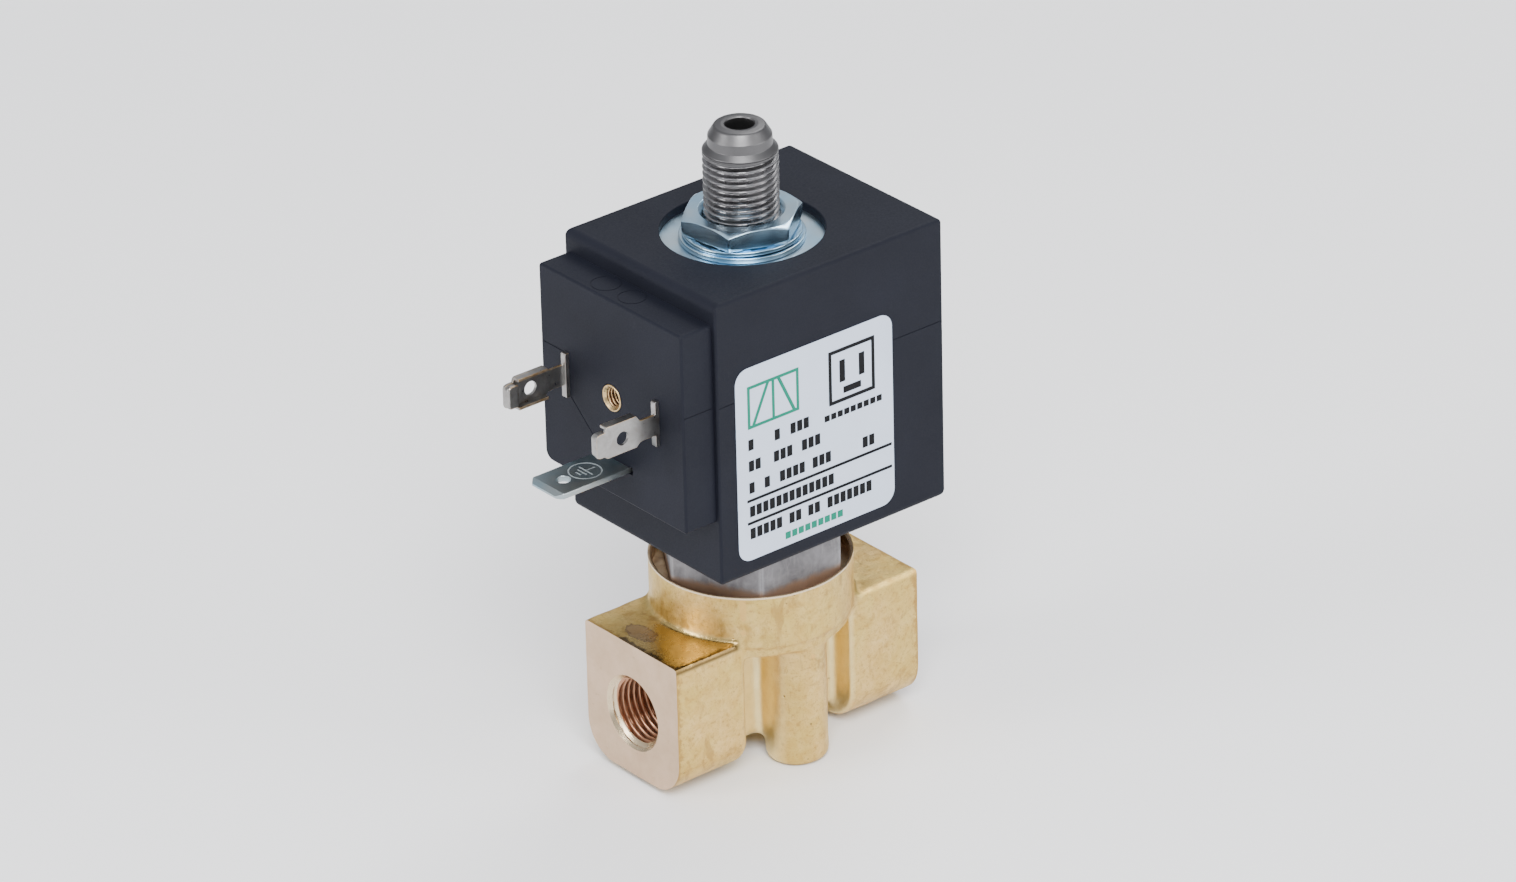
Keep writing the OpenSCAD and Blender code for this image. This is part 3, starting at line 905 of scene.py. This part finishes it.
def paint_body(obj):
    """Choose a finish for each face of the body by where the tools have been."""
    obj.data.materials.clear()
    for key in ("forged", "milled", "bright", "thread", "bore"):
        obj.data.materials.append(MAT[key])
    milled, bright, thread, bore = range(1, 5)
    centre, normal, _ = face_values(obj.data)
    x, y, z = centre.T
    nx, _, nz = normal.T
    depth = HALF_LEN - np.abs(x)
    off_port = np.hypot(y, z - PORT_Z)
    off_axis = np.hypot(x, y)
    off_foot = np.hypot(x, np.abs(y) - FOOT_Y)
    in_port = (off_port < 5.27) & (depth < PORT_DEPTH + 2.5) & (depth > 0.001)
    in_pocket = (off_axis < POCKET_R + 0.1) & (z > POCKET_Z - 0.1)
    in_chamber = (off_axis < SPIGOT_R + 0.1) & (z > CHAMBER_Z - 0.1)
    index = np.zeros(len(x), np.int32)
    for where, finish in (
            ((depth < 0.02) & (np.abs(nx) > 0.99), milled),
            (in_port, thread),
            (in_port & (off_port > 5.2 - depth) & (depth < 1.0), bright),
            # the bore finish makes the collar's inside pale, partly as painted light
            (in_pocket | in_chamber, bore),
            ((z > RIM - 0.3) & (off_axis > POCKET_R - 0.05), bright),
            ((z < 0.02) & (nz < -0.99), milled),
            ((off_foot < 2.35) & (z < 7.6) & (z > 0.001), thread),
            ((off_axis < 1.3) & (z > PORT_Z) & (z < 19), bright)):
        index[where] = finish
    obj.data.polygons.foreach_set("material_index", index)


# ---------------------------------------------------------------- tube and fittings

def eased_below(value, limit, size):
    """The smaller of two values, with a soft change between them."""
    h = np.clip(0.5 + 0.5 * (limit - value) / size, 0, 1)
    return limit * (1 - h) + value * h - size * h * (1 - h) * 0.5


def hexagon(across, turn, ease):
    """Angles that are dense near a turned hexagon's corners, and its radius at each, with eased corners."""
    steps = (0.0, 0.7, 1.5, 3.0, 7.0, 13.0, 21.0, 30.0, 39.0, 47.0, 53.0, 57.0, 58.5, 59.3)
    angles = np.radians([turn + 60 * k + s for k in range(6) for s in steps])
    part = (np.degrees(angles) - turn) % 60 - 30
    side = across / 2 / np.cos(np.radians(part))
    return angles, eased_below(side, across / 2 / math.cos(math.radians(30)) - ease, ease)


def tube_base():
    """Hexagon with its spigot below and a chamfer above."""
    across = 22.0
    angles, side = hexagon(across, -3, 0.12)
    z0 = POCKET_Z + 0.02
    z1 = box_mm("tube_base")[1][2]
    edge = 0.35
    crown = across / 2 + 0.5
    drop = np.maximum(side - crown, 0) * 0.55
    top = z1 - edge - drop
    rings = [(9.15, 20.7), (9.15, z0 - 0.3), (8.9, z0), (side - edge, z0),
             (side - edge * 0.3, z0 + edge * 0.3), (side, z0 + edge), (side, z0 + edge + 0.25),
             (side, z0 + edge + 0.6), (side, top - 0.6), (side, top - 0.25), (side, top),
             (side - edge * 0.3, z1 - edge * 0.3 - drop), (np.minimum(side - edge, crown), z1 - drop * 0.2),
             (crown - 1.2, z1), (6.5, z1), (6.5, 29.3), (7.2, 29.3), (7.2, 20.7)]
    return revolve("tube_base_hex", rings, angles, sharp=40)


def fixed_core():
    """Core with the exhaust fitting turned on its upper end."""
    angles = even_angles(160)
    lo, hi = box_mm("fixed_core")
    low = lo[2]
    tip = hi[2]
    face = low + 0.6
    start = 70.9
    end = 84.0
    bore = 1.9
    rings = [(0.8, low), (1.4, low), (2.0, face), (4.2, face), (4.2, face + 1.3), (5.0, face + 1.3),
             (5.0, face), (5.75, face), (6.05, face + 0.3), (6.05, 67.9), (6.3, 67.9), (6.5, 68.1),
             (6.5, 70.6), (6.2, start)]
    for height in np.arange(start, end - 0.05, PITCH / 14):
        rise = np.clip((height - start) / 0.5, 0, 1)
        filled = np.clip((height - end + 0.75) / 0.5, 0, 1)
        depth = (1 - thread_wave(height, angles, PITCH) * rise) * (1 - filled)
        rings.append((THREAD_MAJOR - (THREAD_MAJOR - THREAD_MINOR) * depth, height))
    nose = rounded_path([(THREAD_MINOR, end - 0.5, 0), (THREAD_MAJOR, end, 0.12), (4.16, end + 0.72, 0.12),
                         (4.12, tip - 1.45, 0.35), (3.3, tip - 0.12, 0.5), (2.4, tip, 0.6),
                         (bore + 0.1, tip - 0.02, 0.05), (bore, tip - 0.2, 0.05), (bore, 60, 0)], 5)
    obj = revolve("exhaust_core", rings + nose[1:] + [(0.8, 59.2)], angles, sharp=45)
    paint_where(obj, lambda x, y, z, nx, ny, nz: (np.hypot(x, y) < bore + 0.03) & (z > 60), 1)
    paint_where(obj, lambda x, y, z, nx, ny, nz: (np.hypot(x, y) > bore + 0.03) & (z > end - 0.8), 2)
    return obj


def coil_nut():
    """Thin nut chamfered on top."""
    across = 14.0
    angles, side = hexagon(across, -22, 0.06)
    lo, hi = box_mm("coil_nut")
    z0 = lo[2]
    z1 = hi[2]
    crown = across / 2 + 0.08
    slope = math.tan(math.radians(30))
    drop = np.maximum(side - crown, 0) * slope
    under = np.maximum(side - across / 2 + 0.1, 0) * slope
    rings = [(4.9, z0), (side - 0.25, z0), (side, z0 + 0.1 + under), (side, z1 - drop - 0.08),
             (side - 0.05, z1 - drop - 0.02), (np.minimum(side - 0.1, crown - 0.02), z1),
             (crown - 0.3, z1), (5.62, z1), (5.55, z1 - 0.04), (4.96, z1 - 0.55), (4.9, z1 - 0.75)]
    return revolve("coil_nut_hex", rings, angles, sharp=28)


def washer(node, wave=0.0):
    """Ring stamped from strip, waved if asked."""
    lo, hi = box_mm(node)
    inner = 5.0
    edge = 0.08
    angles = even_angles(144)
    lift = wave * np.sin(3 * angles + 0.6)
    low = lo[2] + wave
    high = hi[2] - wave
    path = rounded_path([(inner, low, edge), (hi[0], low, edge * 1.5), (hi[0], high, edge * 1.5),
                         (inner, high, edge)])
    return revolve(node + "_ring", [(r, z + lift) for r, z in path], angles)


def plain_ring(name, corners, count=96):
    """Turned ring from (r, z, corner radius) points."""
    return revolve(name, rounded_path(corners), count)


def helix_points(radius, wire, low, high, turns):
    """Compression spring with closed end turns."""
    part = np.linspace(0, 1, turns * 28 + 1)
    ends = part - np.sin(TAU * part) / TAU * 0.85
    angle = TAU * turns * part
    height = low + wire / 2 + (high - low - wire) * ends
    return np.stack([radius * np.cos(angle), radius * np.sin(angle), height], 1)


# ---------------------------------------------------------------- coil

def edged_box(name, low, high, widest, shares):
    """Box whose upright, top and bottom edges are rounded by their own shares of the widest radius."""
    obj = cuboid(name, low, high)
    mesh = obj.data
    weights = mesh.attributes.new("bevel_weight_edge", "FLOAT", "EDGE")
    for edge in mesh.edges:
        a, b = (mesh.vertices[v].co / MM for v in edge.vertices)
        if abs(a.z - b.z) > 1:
            kind = "upright"
        elif a.z < (low[2] + high[2]) / 2:
            kind = "bottom"
        elif abs((a.x + b.x) / 2 - low[0]) < 0.01:
            kind = "plug_side"
        else:
            kind = "top"
        weights.data[edge.index].value = shares[kind]
    round_edges(obj, widest, 5, "WEIGHT")
    return obj


def coil_housing():
    """Moulded shell with its plug face, round recesses, yoke slots, winding space and insert seat."""
    obj = edged_box("coil_housing_shell", (COIL_X0, HOUSING_LO[1], HOUSING_LO[2]), HOUSING_HI, 1.2,
                    {"upright": 0.3, "bottom": 0.75, "top": 0.45, "plug_side": 1.0})
    y1 = PAD_HALF
    z0, z1 = PAD_Z
    outline = (arc((y1 - 0.5, z1 - 0.5), 0.5, 0, 90) + arc((-y1 + 0.5, z1 - 0.5), 0.5, 90, 180)
               + arc((-y1 + 0.5, z0 + 0.5), 0.5, 180, 270) + arc((y1 - 1.4, z0 + 1.4), 1.4, 270, 360))
    boolean(obj, [extrude("pad", outline, (PAD_X, COIL_X0 + 1.5), "x", 0.35, 3)], "UNION")
    yoke_lo, yoke_hi = box_mm("yoke")
    bobbin_lo, bobbin_hi = box_mm("bobbin")
    insert_lo, insert_hi = box_mm("screw_insert")
    sheet = 3
    lip = 0.2
    recess_r = 10.55
    cavity_r = 13.05
    top = HOUSING_HI[2]
    flare = [(recess_r + lip - lip * math.sin(a), top - lip + lip * math.cos(a))
             for a in np.radians([0, 22, 45, 67, 90])]
    seat_r = (insert_hi[1] - insert_lo[1]) / 2 + 0.01
    seat = revolve("seat", [(seat_r + 0.04, -1.0), (seat_r + 0.04, 0.1), (seat_r, 0.15), (seat_r, 5.9)],
                   64, False)
    tools = [
        revolve("recess", [(recess_r + 0.4, top + 1)] + flare + [(recess_r, yoke_hi[2])], 128, False),
        revolve("under", [(recess_r + 0.05, HOUSING_LO[2] - 1), (recess_r, yoke_lo[2])], 96, False),
        cuboid("slot_low", yoke_lo, (yoke_hi[0], yoke_hi[1], yoke_lo[2] + sheet)),
        cuboid("slot_high", (yoke_lo[0], yoke_lo[1], yoke_hi[2] - sheet), yoke_hi),
        cuboid("slot_back", (yoke_hi[0] - sheet, yoke_lo[1], yoke_lo[2]), yoke_hi),
        revolve("cavity", [(cavity_r, bobbin_lo[2] - 0.01), (cavity_r, bobbin_hi[2] + 0.01)], 128, False),
        place_along_x(seat, -1, PAD_X, PLUG_Z)]
    return boolean(obj, tools + parting_tools())


def groove(start, end, width):
    """Thin cutter along a straight line lying on the pad's face."""
    (y0, z0), (y1, z1) = start, end
    tool = cuboid("groove", (-0.09, 0, -width / 2), (1.0, math.hypot(y1 - y0, z1 - z0), width / 2))
    turn = Matrix.Rotation(math.atan2(z1 - z0, y1 - y0), 4, "X")
    moved(tool, PAD_X, y0, z0, turn @ Matrix.Diagonal((-1, 1, 1, 1)))
    face_outwards(tool)
    return tool


def parting_tools():
    """The mould's parting line and ejector rings, and the gap at the earth blade's root."""
    line = 58.35
    width = 0.14
    depth = 0.07
    y0 = HOUSING_LO[1]
    x1, y1, _ = HOUSING_HI
    shell = (COIL_X0 + 0.3, x1 + 1)
    pad = (PAD_X - 1, COIL_X0 - 0.02)
    spans = ((shell, (y0 - 1, y0 + depth)), (shell, (y1 - depth, y1 + 1)),
             ((x1 - depth, x1 + 2), (y0 - 2, y1 + 2)),
             (pad, (-PAD_HALF - 1, -PAD_HALF + depth)), (pad, (PAD_HALF - depth, PAD_HALF + 1)))
    tools = [cuboid("line", (x[0], y[0], line - width / 2), (x[1], y[1], line + width / 2)) for x, y in spans]
    tools.append(groove((PAD_HALF + 0.5, 59.0), (9.5, 59.0), width))
    tools.append(groove((8.4, 53.0), (3.2, 48.4), width))
    for centre_y, radius in ((3.7, 1.9), (-1.5, 1.75)):
        mark = [(radius, -0.06), (radius + 0.16, -0.06), (radius + 0.2, 0.5), (radius, 0.5)]
        tools.append(moved(revolve("ejector", mark, 64), PAD_X + 2.6, centre_y, PAD_Z[1]))
    top = box_mm("earth_terminal")[1][2]
    tools.append(cuboid("root_gap", (PAD_X - 1, -3.75, top - 0.9), (PAD_X + 0.9, -3.0, top + 0.15)))
    return tools


def blade(name, side):
    """Power blade folded from thin strip: root, neck, channel with a hole, and closed tip."""
    sheet = 0.4
    y_out = 9.5
    y_in = y_out - 1.3
    tip = box_mm("line_terminal")[0][0]
    mid = (PAD_X - 8.5, PAD_X - 3.6)
    ear = PAD_X - 0.6
    high = 2.35
    deep = 2.05
    neck = 1.45

    def half_outline(channel, back, front):
        """Upper half of the strip, whose channel's ends are cut by back and front."""
        return [(PAD_X + 4.3, 3.13), (ear + 0.08, 3.13), (ear, 3.05), (ear, neck + 0.1), (ear - 0.1, neck),
                (mid[1] + 0.9, neck), (mid[1] + 0.5, neck + 0.1), (mid[1] + 0.15, channel - back),
                (mid[1] - 0.1, channel), (mid[0] + 0.2, channel), (mid[0], channel - front),
                (mid[0] - 0.15, 1.7), (tip + 0.5, 1.66), (tip + 0.12, 1.5), (tip, 1.15)]

    def slab(label, upper, lower, y_from, y_to, bevel, segments):
        """Plate on this blade's side from its outline's upper and lower heights about the plug's middle."""
        outline = [(x, PLUG_Z + h) for x, h in upper] + [(x, PLUG_Z - h) for x, h in reversed(lower)]
        return extrude(label, outline, sorted((side * y_from, side * y_to)), "y", bevel, segments)

    upper = half_outline(high, 0.25, 0.2)
    web = slab(name, upper, half_outline(deep, 0.2, 0.15), y_out, y_out - sheet, 0.1, 3)
    root = [(PAD_X + 0.5, 3.12), (ear + 0.1, 3.12), (ear, 3.02)]
    parts = [slab("shoulder", root, root, y_out - 0.02, y_out - 0.9, 0.1, 3)]
    for outer, inner in ((high - 0.015, high - sheet), (0.015 - deep, sheet - deep)):
        ends = (mid[0] + 0.04, mid[1] - 0.04)
        parts.append(slab("flange", [(x, outer) for x in ends], [(x, -inner) for x in ends],
                          y_out - 0.11, y_in, 0.1, 3))
    nib = [(tip + 0.02, 1.1), (tip + 0.14, 1.44), (tip + 0.5, 1.6), (mid[0] + 0.2, 1.62)]
    parts.append(slab("nib", nib, nib, y_out - 0.06, y_in + 0.1, 0.25, 4))
    boolean(web, parts, "UNION")
    hole = revolve("hole", [(0.95, -3.0), (0.95, 3.0)], 48, False)
    turn = Matrix.Rotation(math.radians(90 * side), 4, "X")
    boolean(web, [moved(hole, PAD_X - 5.9, side * 9.1, PLUG_Z, turn)])

    def sheared(x, y, z, nx, ny, nz):
        rounded = (np.max(np.abs([nx, ny, nz]), axis=0) < 0.97) & (np.abs(nx) < 0.3)
        free = (np.abs(y) < y_in + 0.1) & (x > mid[0] - 0.1) & (np.abs(ny) > 0.9)
        edge = (np.abs(nz) > 0.97) & (x > mid[1])
        return (rounded | free | edge) & (x < PAD_X)

    paint_where(web, sheared, 1)
    return web


def earth_blade():
    """Flat blade with its stamped symbol, and the strap that joins it to the yoke."""
    lo, hi = box_mm("earth_terminal")
    tip = lo[0]
    z1 = hi[2]
    sheet = 0.8
    z0 = z1 - sheet
    half = 3.15
    cut = 0.8
    back = COIL_X0 + 2.2
    mark_x = tip + 6.7
    outline = [(tip, cut - half), (tip + cut, -half), (back, -half), (back, half),
               (tip + cut, half), (tip, half - cut)]
    obj = extrude("earth_blade", outline, (z0, z1), "z", 0.14, 3)
    ramps = [[(tip - 1, z1 + 0.2), (tip - 1, z1 - 0.75), (tip + 0.9, z1 + 0.02), (tip + 0.9, z1 + 0.2)],
             [(tip - 1, z0 - 0.2), (tip - 1, z0 + 0.5), (tip + 0.6, z0 - 0.02), (tip + 0.6, z0 - 0.2)]]
    boolean(obj, [extrude("ramp", ramp, (-4, 4), "y") for ramp in ramps])
    strap = cuboid("strap", (back - sheet, -2, lo[2]), (back, 2, z1 - 0.2), 0.1, 2)
    tail = cuboid("tail", (back - sheet + 0.1, -2, lo[2]), (hi[0], 2, lo[2] + sheet), 0.1, 2)
    boolean(obj, [strap, tail], "UNION")
    hole = revolve("hole", [(0.95, z0 - 1), (0.95, z1 - 0.06), (1.01, z1), (1.01, z1 + 1)], 48, False)
    boolean(obj, [moved(hole, tip + 3.2)] + earth_mark(mark_x, z1))
    # the stamped grooves get the paler stamp finish, painted light against their shade
    paint_where(obj, lambda x, y, z, nx, ny, nz:
                (np.hypot(x - mark_x, y) < 2.6) & (z < z1 - 0.02) & (z > z1 - 0.15), 1)
    return obj


def earth_mark(x, z1):
    """Cutters for the stamped earth symbol: a ring, a stem and three bars."""
    low = z1 - 0.09
    high = z1 + 0.5
    ring = revolve("ring", [(2.02, low), (2.24, low), (2.24, high), (2.02, high)], 64)
    tools = [moved(ring, x), cuboid("stem", (x + 0.1, -0.12, low), (x + 1.6, 0.12, high))]
    for shift, half in ((0.1, 1.4), (-0.5, 0.95), (-1.1, 0.5)):
        tools.append(cuboid("bar", (x + shift - 0.12, -half, low), (x + shift + 0.12, half, high)))
    return tools


def screw_insert():
    """Brass insert with an M3 thread."""
    lo, hi = box_mm("screw_insert")
    angles = even_angles(96)
    pitch = 0.5
    length = hi[0] - lo[0]
    wide = (hi[1] - lo[1]) / 2
    outer = rounded_path([(wide - 0.2, 0.0, 0.1), (wide, 0.0, 0.1), (wide, length, 0.1), (0, length, 0)])
    rings = outer[4:-1] + [(0.05, length), (0.05, length - 0.8), (1.2, length - 0.8)]
    for height in np.arange(length - 0.9, 0.3, -pitch / 16):
        rings.append((np.maximum(1.23 + 0.27 * thread_wave(height, angles, pitch), 1.62 - height), height))
    rings += [(1.32, 0.3), (1.6, 0.02), (1.66, 0.0)]
    obj = revolve("insert", rings, angles, sharp=50)
    paint_where(obj, lambda x, y, z, nx, ny, nz: (np.hypot(x, y) < 1.6) & (z > 0.31), 1)
    return place_along_x(obj, -1, lo[0], PLUG_Z)


def winding():
    """Wire-wound coil: its outside shows the turns."""
    lo, hi = box_mm("winding")
    inner = 7.85
    wire = 0.45
    middle = hi[0] - wire / 2
    rings = [(inner, lo[2])]
    for k, part in product(range(int((hi[2] - lo[2]) / wire)), (0.02, 0.25, 0.5, 0.75)):
        bulge = math.sin(math.pi * (0.08 + part * 0.84))
        rings.append((middle + wire / 2 * bulge, lo[2] + wire * (k + part)))
    rings += [(hi[0] - wire * 0.4, hi[2]), (inner, hi[2])]
    return revolve("winding_turns", rings, 96, sharp=60)


def bobbin():
    lo, hi = box_mm("bobbin")
    bore = 6.8
    barrel = 7.8
    rim = hi[0]
    low = lo[2]
    high = hi[2]
    cheek = 1.1
    corners = [(bore, low, 0.1), (rim, low, 0.2), (rim, low + cheek, 0.2), (barrel, low + cheek, 0.2),
               (barrel, high - cheek, 0.2), (rim, high - cheek, 0.2), (rim, high, 0.2), (bore, high, 0.1)]
    return plain_ring("bobbin_spool", corners, 128)


# ---------------------------------------------------------------- label

def label_plate():
    lo, hi = box_mm("label_plate")
    radius = 2.0
    middle = (lo + hi) / 2
    half = (hi - lo) / 2 - radius
    outline = []
    for start, (u, v) in zip((0, 90, 180, 270), ((1, 1), (-1, 1), (-1, -1), (1, -1))):
        outline += arc((middle[0] + u * half[0], middle[2] + v * half[2]), radius, start, start + 90, 8)
    return extrude("label_sheet", outline, (lo[1], hi[1]), "y", 0.03, 1)


def label_marks():
    """Generic print: a flow diagram, a plug pin diagram, plain blocks for words and two rules."""
    lo, hi = box_mm("label_plate")
    skin = (lo[1] - 0.03, lo[1] + 0.02)
    dark = []
    green = []

    def bar(into, x, z, length, height, lean=0.0):
        x += lo[0]
        z += lo[2]
        shape = [(x, z), (x + length, z), (x + length + lean, z + height), (x + lean, z + height)]
        into.append(extrude("bar", shape, skin, "y"))

    def square(into, x, z, w, h, line):
        bar(into, x, z, w, line)
        bar(into, x, z + h - line, w, line)
        bar(into, x, z + line, line, h - 2 * line)
        bar(into, x + w - line, z + line, line, h - 2 * line)

    def word(into, x, z, count, height):
        """A run of plain blocks, as long as a word."""
        for k in range(count):
            bar(into, x + 1.08 * k, z, 0.84, height)

    lines = [
        (15.6, ((1.9, 1), (6.2, 1), (8.8, 3))),
        (12.6, ((1.9, 2), (6.0, 3), (10.6, 3))),
        (9.5, ((1.9, 1), (4.4, 1), (6.9, 4), (12.3, 3), (20.6, 2))),
        (6.15, ((1.9, 13),)),
        (3.0, ((1.9, 5), (8.3, 2), (11.4, 2), (14.6, 7))),
    ]
    for z, words in lines:
        for x, count in words:
            word(dark, x, z, count, 1.5)
    word(green, 7.6, 1.0, 9, 0.95)
    for z in (8.3, 5.1):
        bar(dark, 1.5, z, hi[0] - lo[0] - 1.9, 0.38)
    # Flow diagram: two boxes, each with its slanting flow path
    square(green, 1.9, 18.6, 8.4, 6.0, 0.42)
    for x, width, lean in ((5.9, 0.42, 0.0), (2.6, 0.5, 2.4), (9.2, 0.5, -2.4)):
        bar(green, x, 19.02, width, 5.16, lean)
    # Plug diagram: two blades and the earth pin inside a plain square, over a line of blocks
    square(dark, 15.2, 17.3, 7.6, 7.6, 0.5)
    for x, z, width, height in ((17.0, 20.1, 0.9, 3.1), (20.2, 20.1, 0.9, 3.1), (17.6, 18.4, 2.9, 0.9)):
        bar(dark, x, z, width, height)
    word(dark, 14.4, 15.3, 9, 0.85)
    return (join("label_print_dark", dark), ["ink_dark"]), (join("label_print_green", green), ["ink_green"])


# ---------------------------------------------------------------- build

def build_valve():
    put(valve_body(), "valve", "valve_body")
    put(tube_base(), "valve", "tube_base", ["hex"])
    put(fixed_core(), "valve", "fixed_core", ["steel", "bore_steel", "nose_steel"])
    put(coil_nut(), "valve", "coil_nut", ["zinc"])
    put(washer("flat_washer"), "valve", "flat_washer", ["zinc"])
    put(washer("wave_washer", 0.07), "valve", "wave_washer", ["zinc"])
    lo, hi = box_mm("armature_tube")
    sleeve = [(6.05, lo[2], 0.05), (6.5, lo[2], 0.05), (6.5, hi[2], 0.1), (6.05, hi[2], 0.05)]
    put(plain_ring("armature_tube_sleeve", sleeve), "valve", "armature_tube", ["steel"])
    lo, hi = box_mm("body_o_ring")
    wire = (hi[2] - lo[2]) / 2
    seal = [(hi[0] - wire + wire * math.cos(a), lo[2] + wire + wire * math.sin(a)) for a in even_angles(16)]
    put(revolve("o_ring", seal, 96), "valve", "body_o_ring", ["rubber"])
    lo, hi = box_mm("shading_ring")
    ring = [(4.21, lo[2], 0.05), (hi[0], lo[2], 0.05), (hi[0], hi[2], 0.05), (4.21, hi[2], 0.05)]
    put(plain_ring("shading_ring_copper", ring, 72), "valve", "shading_ring", ["copper"])


def plunger_core():
    """Armature with a spring flange at its foot and a seal pocket in each end."""
    lo, hi = box_mm("plunger")
    z0 = lo[2]
    z1 = hi[2]
    foot = z0 + 1.2
    pocket = 2.43
    corners = [(pocket, z0, 0.1), (6.9, z0, 0.15), (6.9, foot, 0.15), (5.7, foot, 0.1), (5.7, z1, 0.4),
               (pocket, z1, 0.15), (pocket, z1 - 5.4, 0), (0.02, z1 - 5.4, 0), (0.02, z0 + 2.4, 0),
               (pocket, z0 + 2.4, 0)]
    return plain_ring("plunger_core", corners, 120)


def build_plunger():
    put(plunger_core(), "plunger", "plunger", ["armature"])
    for node in ("inlet_seal", "exhaust_seal"):
        lo, hi = box_mm(node)
        disc = [(0.02, lo[2], 0), (2.4, lo[2], 0.2), (2.4, hi[2], 0.2), (0.02, hi[2], 0)]
        put(plain_ring(node + "_disc", disc, 64), "plunger", node, ["rubber"])
    for node, radius, wire, turns in (("seal_spring", 1.8, 0.4, 4), ("return_spring", 6.35, 0.6, 6)):
        lo, hi = box_mm(node)
        coil = tube(node + "_wire", helix_points(radius, wire, lo[2], hi[2], turns), wire / 2)
        squeezed = node == "return_spring"
        put(coil, None if squeezed else "plunger", node, ["spring"])
        if squeezed:
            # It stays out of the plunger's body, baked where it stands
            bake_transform(coil)


def build_coil():
    put(coil_housing(), "coil", "coil_housing", ["plastic"])
    put(blade("line_blade", 1), "coil", "line_terminal", ["blade", "blade_edge"], 28)
    put(blade("neutral_blade", -1), "coil", "neutral_terminal", ["blade", "blade_edge"], 28)
    put(earth_blade(), "coil", "earth_terminal", ["earth", "earth_mark"], 28)
    put(screw_insert(), "coil", "screw_insert", ["insert", "insert_thread"], 55)
    put(bobbin(), "coil", "bobbin", ["bobbin"])
    put(winding(), "coil", "winding", ["wire"])
    put(label_plate(), "coil", "label_plate", ["label"])
    for marks, materials in label_marks():
        put(marks, "coil", None, materials)
    for node in ("line_lead", "neutral_lead"):
        lo, hi = box_mm(node)
        part = np.linspace(0, 1, 24)
        path = lo + np.outer(part, [hi[0] - lo[0], 0, 0]) + np.array([0, *(hi - lo)[1:] / 2])
        path[:, 2] += 0.12 * np.sin(part * TAU)
        put(tube(node + "_wire", path, 0.32), "coil", node, ["copper"])


def carried_over():
    """The CAD node whose shape is already right."""
    obj = bpy.data.objects[getattr(frame["nodes"]["yoke"], "name", frame["nodes"]["yoke"])]
    obj.data.materials.clear()
    obj.data.materials.append(MAT["yoke"])


def floor():
    size = 3000
    obj = new_object("floor", [(-size, -size, 0), (size, -size, 0), (size, size, 0), (-size, size, 0)],
                     [(0, 1, 2, 3)])
    p = Paint("floor_paint")
    color = p.mix(p.noise(60, 3, 0.5), (0.86, 0.86, 0.87), (0.89, 0.89, 0.90))
    obj.data.materials.append(p.finish(color, p.gloss((20, 2), 0.7, 0.8)))


def stand(obj, right, up, back, place):
    """Put an object at a place in millimetres, with its own X, Y and Z along three directions."""
    rows = [[right[i], up[i], back[i], place[i] * MM] for i in range(3)] + [[0, 0, 0, 1]]
    obj.matrix_world = Matrix(rows)


def lights():
    """Four soft boxes aimed at the part's middle, and a pale sky that is brighter above."""
    for name, place, size, power in (
            ("key", (-420, -650, 900), (600, 600), 20), ("side", (-900, 250, 350), (300, 600), 7),
            ("front", (500, -850, 260), (400, 600), 6), ("back", (700, 350, 900), (500, 500), 6)):
        data = bpy.data.lights.new(name, "AREA")
        data.shape = "RECTANGLE"
        data.size = size[0] * MM
        data.size_y = size[1] * MM
        data.energy = power
        back = np.array(place, float) - (0, 0, 45)
        back /= np.linalg.norm(back)
        right = np.cross([0, 0, 1], back)
        right /= np.linalg.norm(right)
        stand(add_to_scene(name, data), right, np.cross(back, right), back, place)
    world = bpy.data.worlds.new("studio")
    world.use_nodes = True
    tree = world.node_tree
    sky = tree.nodes["Background"]
    place = tree.nodes.new("ShaderNodeTexCoord")
    split = tree.nodes.new("ShaderNodeSeparateXYZ")
    height = tree.nodes.new("ShaderNodeMapRange")
    for key, value in (("From Min", 0.1), ("From Max", 0.9), ("To Min", 0.45), ("To Max", 1.0)):
        height.inputs[key].default_value = value
    tree.links.new(place.outputs["Generated"], split.inputs[0])
    tree.links.new(split.outputs["Z"], height.inputs["Value"])
    tree.links.new(height.outputs["Result"], sky.inputs["Strength"])
    sky.inputs["Color"].default_value = (0.93, 0.95, 1.0, 1)
    bpy.context.scene.world = world


def camera():
    """The photograph's viewing angle: from the plug side and a little above."""
    turn = math.radians(-38.9)
    tilt = math.radians(27.42)
    roll = math.radians(1.48)
    distance = 1061.7
    target = np.array([0, 0, 44.83])
    back = np.array([math.sin(turn) * math.cos(tilt), -math.cos(turn) * math.cos(tilt), math.sin(tilt)])
    level = np.array([math.cos(turn), math.sin(turn), 0])
    rise = np.cross(back, level)
    right = level * math.cos(roll) - rise * math.sin(roll)
    up = level * math.sin(roll) + rise * math.cos(roll)
    data = bpy.data.cameras.new("photo_camera")
    data.sensor_width = 36
    data.lens = 196.83
    data.shift_x = 0.0071
    data.shift_y = -0.0117
    data.clip_end = 20
    obj = add_to_scene("photo_camera", data)
    stand(obj, right, up, back, target + back * distance)
    bpy.context.scene.camera = obj


camera()
lights()
floor()
build_valve()
build_plunger()
build_coil()
carried_over()
